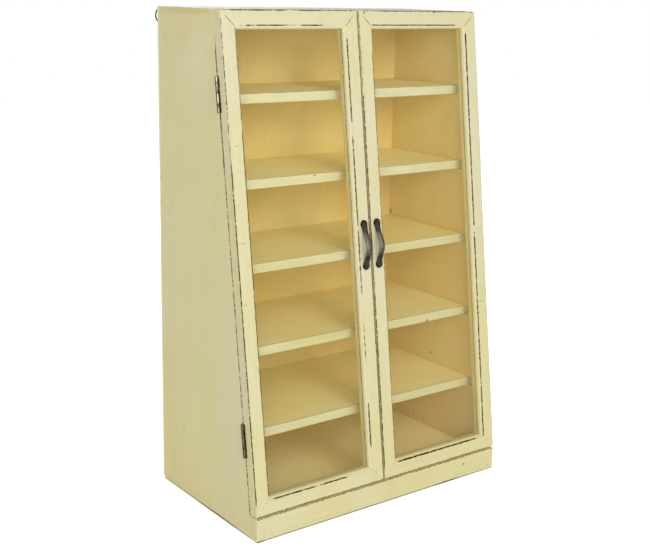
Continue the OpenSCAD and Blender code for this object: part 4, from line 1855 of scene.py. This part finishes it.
@dataclass
class Fastenings:
    """Nails, panel pins and screw eyes of the carcass, in millimetres."""

    nail_inset: float = 12.5
    nail_d: float = 2.0
    nail_head_d: float = 3.6
    nail_l: float = 42.0
    nail_floor_gap: float = 0.5
    nail_crown: float = 0.12
    nail_drive: float = 0.04
    pin_d: float = 1.6
    pin_head_d: float = 3.6
    pin_head_h: float = 0.8
    pin_l: float = 20.0
    pin_count: int = 7
    pin_margin: float = 45.0
    eye_d: float = 19.0
    eye_wire: float = 2.2
    eye_reach: float = 20.0
    eye_inset: float = 7.5
    eye_drop: float = 14.0
    eye_shank_l: float = 18.0

    def nail(self, shank_d: float, head_d: float, length: float, proud: float) -> Surface:
        """A headed nail along Y with its head at -Y, whose crown stands proud of 0.

        Args:
            shank_d: Diameter of the shank.
            head_d: Diameter of the head.
            length: Length without the crown.
            proud: Height of the crown.

        Returns:
            The nail.
        """
        r, h = shank_d / 2, head_d / 2
        profile = np.array([
            [0.05 * h, -proud], [0.5 * h, -0.85 * proud], [0.85 * h, -0.5 * proud], [h, 0.1], [h, 0.5],
            [r, 1.0], [r, length - 2], [0.1, length],
        ])
        return turned(profile, 28)

    def build(self, dark: Material, wire: Material) -> list[Object]:
        """Makes the nails, the pins and the two eyes.

        Args:
            dark: Finish of the nails and pins.
            wire: Finish of the eyes.

        Returns:
            Their objects.
        """
        z = SIZES
        low = z.plinth_h - z.floor_drop - z.shelf_t - self.nail_floor_gap - self.nail_d / 2
        nail = self.nail(self.nail_d, self.nail_head_d, self.nail_l, self.nail_crown)
        face, off = z.front_y + NAIL_RELIEF - self.nail_drive, z.width / 2 - self.nail_inset
        places = [(x, face, height) for x in (-off, off) for height in (low / 2, low)]
        nails = Surface.joined([nail.moved(shift=place) for place in places])
        pin = self.nail(self.pin_d, self.pin_head_d, self.pin_l, self.pin_head_h)
        pin = pin.moved(scale=(1.0, -1.0, 1.0))
        heights = np.linspace(z.back_rise + self.pin_margin, z.side_h - self.pin_margin, self.pin_count)
        edge = (z.width - z.side_t) / 2
        spots = [(sign * edge, height) for sign in (-1, 1) for height in heights]
        spots += [(place * z.width / 3, z.height - z.top_t / 2) for place in (-1, 0, 1)]
        pins = Surface.joined([pin.moved(shift=(x, z.back_y, height)) for x, height in spots])
        made = [
            self.finished(nails, "plinth_nail_set", dark, "plinth_nails"),
            self.finished(pins, "back_panel_pin_set", dark, "back_panel_pins"),
        ]
        for hand in Hand:
            name, node = f"{hand.word}_wire_eye", f"screw_eye_{hand.word}"
            made.append(self.finished(self.eye(hand), name, wire, node))
        return made

    def finished(self, surface: Surface, name: str, material: Material, node: str) -> Object:
        """Turns a surface into a piece that stands for a CAD node of the case.

        Args:
            surface: The surface.
            name: Name of the piece.
            material: Its finish.
            node: The CAD node.

        Returns:
            The piece.
        """
        made = surface.to_object(name, material)
        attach(made, "case")
        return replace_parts(made, node)

    def eye(self, hand: Hand) -> Surface:
        """Wire bent into a ring, with a tapered shank.

        Formula: the path is a straight shank that meets a circle at its near point and follows it round,
        ending just short of the shank.

        Args:
            hand: Left or right side.

        Returns:
            The eye at its place in the side's back edge.
        """
        z = SIZES
        wire = self.eye_wire / 2
        ring_r = self.eye_d / 2 - wire
        centre = z.back_y + self.eye_reach - self.eye_d / 2
        start = z.back_y - self.eye_shank_l
        shank = np.linspace(start, centre - ring_r - 1.2, 14)
        turn = np.radians(np.linspace(-150, 168, 72))
        ring_y, ring_z = centre + ring_r * np.cos(turn), ring_r * np.sin(turn)
        lead = np.array([[shank[-1] + 0.6, -0.25], [ring_y[0] - 0.5, ring_z[0] + 1.9]])
        y = np.concatenate([shank, lead[:, 0], ring_y])
        h = np.concatenate([np.zeros_like(shank), lead[:, 1], ring_z])
        path = np.column_stack([np.zeros_like(y), y, h])
        radius = np.full(len(path), wire)
        radius[:3] = wire * np.array([0.25, 0.6, 0.9])
        x = hand.value * (z.width / 2 - self.eye_inset)
        return tube(path, radius).moved(shift=(x, 0, z.height - self.eye_drop))


# Studio


# Words in the names of the pieces that the two inside lamps light.
CAVITY = ("shelf", "back_panel", "bottom_board", "side_board")


@dataclass(frozen=True)
class SoftLamp:
    """Square studio lamp that faces the case.

    Attributes:
        name: Its name.
        place: Its middle in metres.
        size: Its side in metres.
        watts: Its power.
        aim: The point that it faces.
        only: Words in the names of the pieces that it lights, or none where it lights everything.
    """

    name: str
    place: Place
    size: float
    watts: float
    aim: Place = (0.0, 0.0, 0.36)
    only: tuple[str, ...] = ()

    def build(self, pieces: list[Object]) -> None:
        """Makes the lamp, which lights everything or only the pieces whose names hold one of its words.

        Args:
            pieces: Pieces of the case.
        """
        light = bpy.data.lights.new(self.name, "AREA")
        light.shape, light.size, light.energy = "SQUARE", self.size, self.watts
        lamp = bpy.data.objects.new(self.name, light)
        lamp.location = self.place
        lamp.rotation_euler = (Vector(self.aim) - Vector(self.place)).to_track_quat("-Z", "Y").to_euler()
        bpy.context.scene.collection.objects.link(lamp)
        if self.only:
            lit = bpy.data.collections.new(f"{self.name}_pieces")
            for piece in pieces:
                if any(word in piece.name for word in self.only):
                    lit.objects.link(piece)
            lamp.light_linking.receiver_collection = lit


@dataclass
class Studio:
    """Pale floor, white background, soft lamps and the camera of the photograph."""

    camera_place: Place = (-1.0662, -1.3826, 0.7840)
    forward: Place = (0.58655, 0.77114, -0.24760)
    right: Place = (0.79925, -0.60056, 0.02299)
    lens: float = 62.11
    sensor: float = 36.0
    lamps: tuple[SoftLamp, ...] = (
        SoftLamp("key_front", (-0.32, -2.95, 1.45), 1.3, 18),
        SoftLamp("key_left", (-2.15, -2.2, 0.9), 1.6, 29),
        SoftLamp("fill_low", (1.1, -2.7, 0.35), 1.4, 6),
        SoftLamp("right_side", (2.7, 0.8, 1.2), 1.6, 26),
        SoftLamp("behind", (0.9, 2.9, 1.3), 1.6, 24),
        SoftLamp("inside_front", (-0.32, -2.6, 1.95), 1.5, 18, only=CAVITY),
        SoftLamp("inside_left", (-1.8, -2.1, 1.9), 1.5, 14, only=CAVITY[:3]),
    )
    ambient: float = 0.4
    floor_half: float = 6.0
    floor_glow: float = 0.75

    def build(self, pieces: list[Object]) -> None:
        """Makes the whole studio.

        Args:
            pieces: Pieces of the case.
        """
        for lamp in self.lamps:
            lamp.build(pieces)
        self.camera()
        self.floor()
        self.world()
        bpy.context.scene.view_settings.view_transform = "Standard"

    def camera(self) -> None:
        """Puts the camera where the photograph was taken from."""
        data = bpy.data.cameras.new("camera")
        data.lens, data.sensor_width, data.clip_end = self.lens, self.sensor, 100
        camera = bpy.data.objects.new("camera", data)
        ahead, side = Vector(self.forward).normalized(), Vector(self.right).normalized()
        up = side.cross(ahead)
        turn = Matrix((side, up, -ahead)).transposed().to_4x4()
        camera.matrix_world = Matrix.Translation(self.camera_place) @ turn
        bpy.context.scene.collection.objects.link(camera)
        bpy.context.scene.camera = camera

    def seen(self, tree: NodeTree) -> NodeSocket:
        """1 for rays that the camera, metal or glass sees by, and 0 for the light that falls on the case.

        Args:
            tree: Node tree in which the rays are told apart.

        Returns:
            The number.
        """
        path = tree.nodes.new("ShaderNodeLightPath")
        total = path.outputs["Is Camera Ray"]
        for name in ("Is Glossy Ray", "Is Transmission Ray"):
            node = tree.nodes.new("ShaderNodeMath")
            node.operation = "MAXIMUM"
            tree.links.new(total, node.inputs[0])
            tree.links.new(path.outputs[name], node.inputs[1])
            total = node.outputs[0]
        return total

    def floor(self) -> None:
        """Pale floor that shows white and keeps the case's shadow."""
        half = self.floor_half
        corners = [(-half, -half, 0), (half, -half, 0), (half, half, 0), (-half, half, 0)]
        mesh = bpy.data.meshes.new("floor")
        mesh.from_pydata(corners, [], [(0, 1, 2, 3)])
        made = bpy.data.objects.new("floor", mesh)
        bpy.context.scene.collection.objects.link(made)
        s = Sketch("pale_floor")
        diffuse = s.add("ShaderNodeBsdfDiffuse")
        greys = [(0.3, (0.86, 0.86, 0.86, 1)), (0.7, (0.88, 0.88, 0.88, 1))]
        s.feed(diffuse.inputs["Color"], s.ramp(s.noise(s.here, 60, 3), greys))
        glow = s.add("ShaderNodeEmission")
        s.feed(glow.inputs["Strength"], s.times(self.seen(s.tree), self.floor_glow))
        s.blend("ShaderNodeAddShader", diffuse, glow)
        mesh.materials.append(s.material)

    def world(self) -> None:
        """White to the camera, and an even soft light on the case."""
        world = bpy.data.worlds.new("studio")
        bpy.context.scene.world = world
        world.use_nodes = True
        tree = world.node_tree
        tree.nodes.clear()
        soft, white = (tree.nodes.new("ShaderNodeBackground") for _ in range(2))
        for light in (soft, white):
            light.inputs["Color"].default_value = (1.0, 1.0, 1.0, 1.0)
        soft.inputs["Strength"].default_value = self.ambient
        white.inputs["Strength"].default_value = 1.0
        both = tree.nodes.new("ShaderNodeMixShader")
        tree.links.new(self.seen(tree), both.inputs[0])
        tree.links.new(soft.outputs[0], both.inputs[1])
        tree.links.new(white.outputs[0], both.inputs[2])
        tree.links.new(both.outputs[0], tree.nodes.new("ShaderNodeOutputWorld").inputs[0])


def dress_nodes(finishes: dict[str, Material]) -> None:
    """Gives the CAD nodes that stay in view their finishes, by the words in their names.

    Args:
        finishes: Finish for each word, the first match counting.
    """
    for name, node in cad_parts.items():
        for word, material in finishes.items():
            if word in name:
                node.data.materials.clear()
                node.data.materials.append(material)
                break


def on_door(x: float, rise: float) -> Place:
    """Place on the doors' faces, from X and the rise along the slope."""
    return tuple(float(c) for c in SIZES.on_front(np.array([[x, 0.0, rise]]))[0])


STAIN, PALE_STAIN, SCRATCH = linear(150, 118, 58), linear(150, 118, 62), linear(120, 104, 62)


@dataclass(frozen=True)
class PaintShop:
    """All painted finishes of the case, each with its own single stains, nicks and scratches, and painted
    shadow lines along the foot.
    """

    side_marks: tuple[Mark, ...] = (
        Mark((-240, 30, 690), (3, 34, 26), linear(243, 238, 214), 0.28, 0.8),
        Mark((-240, 62, 712), (3, 30, 24), linear(236, 216, 160), 0.35, 0.8),
        Mark((-240, 10, 640), (3, 22, 40), linear(240, 234, 206), 0.18, 0.8),
        Mark((-240, -85, 200), (4, 38, 170), linear(236, 225, 196), 0.5, 0.9),
        # Painted shadow: a grey line along the side's foot, where it meets the floor.
        Mark((-240, -10, 0.6), (6, 190, 2.5), linear(150, 138, 98), 0.6, 0.3),
        Mark((-240, -40, 0.8), (6, 62, 2.7), linear(84, 70, 36), 0.75, 0.5),
        Mark((221, -3, 170), (2, 3, 2), STAIN, 0.6),
        Mark((221, 36, 43), (2, 2.5, 2), PALE_STAIN, 0.5),
        Mark((221, 7, 43), (2, 2, 2.5), PALE_STAIN, 0.5),
        Mark((221, 120, 402), (2, 2.5, 3.6), linear(150, 116, 54), 0.8),
    )
    top_marks: tuple[Mark, ...] = (Mark((-240, 40, 749.5), (3, 62, 3.4), linear(228, 206, 128), 0.6, 0.4),)
    plinth_marks: tuple[Mark, ...] = (
        Mark((171.5, -148.4, 23.6), (1.5, 2, 2.2), linear(104, 82, 34), 0.8),
        # Painted shadow: a grey line along the plinth's foot, where it meets the floor.
        Mark((0, -148.4, 0.6), (290, 3.5, 2.1), linear(138, 128, 90), 0.8, 0.3),
        Mark((136, -148.4, 0.8), (26, 3, 2.2), linear(70, 58, 24), 0.9),
        Mark((-233, -148.4, 0.8), (6, 3, 2.2), linear(84, 72, 36), 0.85),
    )
    shelf_marks: tuple[Mark, ...] = (
        Mark((-73.5, -47, 513), (2.6, 2, 0.8), linear(96, 78, 40), 0.8),
        Mark((135, -81.7, 261.5), (3.0, 3, 2.2), STAIN),
    )
    hairlines: tuple[tuple[float, float, float], ...] = (
        (-229.5, 402, 6.5), (-233.5, 315, 2.8), (-228, 538, 3.0), (228, 254, 3.5))

    def stile_marks(self) -> tuple[Mark, ...]:
        """Fine scratches across the stiles, from their x, rise and half length."""
        return tuple(
            Mark(on_door(x, rise), (half, 1.5, 0.45), SCRATCH, 0.7) for x, rise, half in self.hairlines)

    def rail_marks(self) -> tuple[Mark, ...]:
        """Chips of the upper rails' top edge.

        Returns:
            The marks, on the doors' faces.
        """
        top = SIZES.door_hi
        return (
            Mark(on_door(152, top - 0.5), (3.0, 3, 2.0)),
            Mark(on_door(233, top - 0.5), (1.5, 3, 1.8)),
            Mark(on_door(12, top - 3), (2.0, 2, 1.4), linear(120, 98, 48), 0.8),
        )

    def build(self) -> dict[str, Material]:
        """Makes the painted materials.

        Returns:
            The materials by the kind of piece that wears them.
        """
        lean = SIZES.lean
        finishes = {
            # Painted light: the sides and top take a lighter, yellower copy of the paint, and pieces that
            # look into the case take its golden copy there.
            "side": PaintedWood(
                "side_paint", tone=Tone.SIDE, cavity=True, rub_level=0.5, streaks=0.1,
                marks=self.side_marks),
            "top": PaintedWood(
                "top_paint", Grain.TOP, tone=Tone.SIDE, cavity=True, streaks=0.1, marks=self.top_marks,
                dust=0.8),
            "plinth": PaintedWood("plinth_paint", Grain.ACROSS, marks=self.plinth_marks),
            "panel": PaintedWood("panel_paint", cavity=True, streaks=0.15),
            # Painted light: the shelves' front edges take a darker copy and the rest a lighter golden one;
            # the floor takes a still lighter copy.
            "shelf": PaintedWood(
                "shelf_paint", Grain.ACROSS, tone=Tone.EDGE, cavity=True, pale_edge=True, inner=Tone.SHELF,
                marks=self.shelf_marks),
            "floor": PaintedWood("floor_paint", Grain.ACROSS, cavity=True, inner=Tone.FLOOR),
            "stile": PaintedWood("stile_paint", tilt=lean, streaks=0.2, marks=self.stile_marks()),
            "rail": PaintedWood(
                "rail_paint", Grain.ACROSS, tilt=lean, streaks=0.2, marks=self.rail_marks()),
            # Painted light: the glazing beads take a brighter golden copy of the paint.
            "bead_stile": PaintedWood("upright_bead_paint", tilt=lean, tone=Tone.BEAD),
            "bead_rail": PaintedWood("level_bead_paint", Grain.ACROSS, tilt=lean, tone=Tone.BEAD),
        }
        return {kind: finish.build() for kind, finish in finishes.items()}


def main() -> None:
    paint = PaintShop().build()
    pewter = CastMetal().build()
    hinge = HingeBrass().build()
    steel = PlainMetal("dull_steel", linear(120, 114, 100), linear(60, 52, 38)).build()
    cream, shade = linear(228, 218, 168), linear(212, 198, 146)
    painted = PlainMetal("painted_nail", cream, shade, metallic=0.02).build()
    brass = PlainMetal("dull_brass", linear(168, 146, 96), linear(96, 78, 44)).build()

    pieces = Carcass(paint).build()
    for hand in Hand:
        pieces += Door(hand, paint, pewter).build()
    pieces += Fastenings().build(painted, steel)
    dress_nodes({
        "glass": PaneGlass().build(),
        "hinge_screws": brass,
        "handle_screws": brass,
        "leaf": hinge,
        "hinge_pin": steel,
    })
    for piece in pieces:
        log.info("%s: %d faces", piece.name, len(piece.data.polygons))
    Studio().build(pieces)


if __name__ == "__main__":
    main()
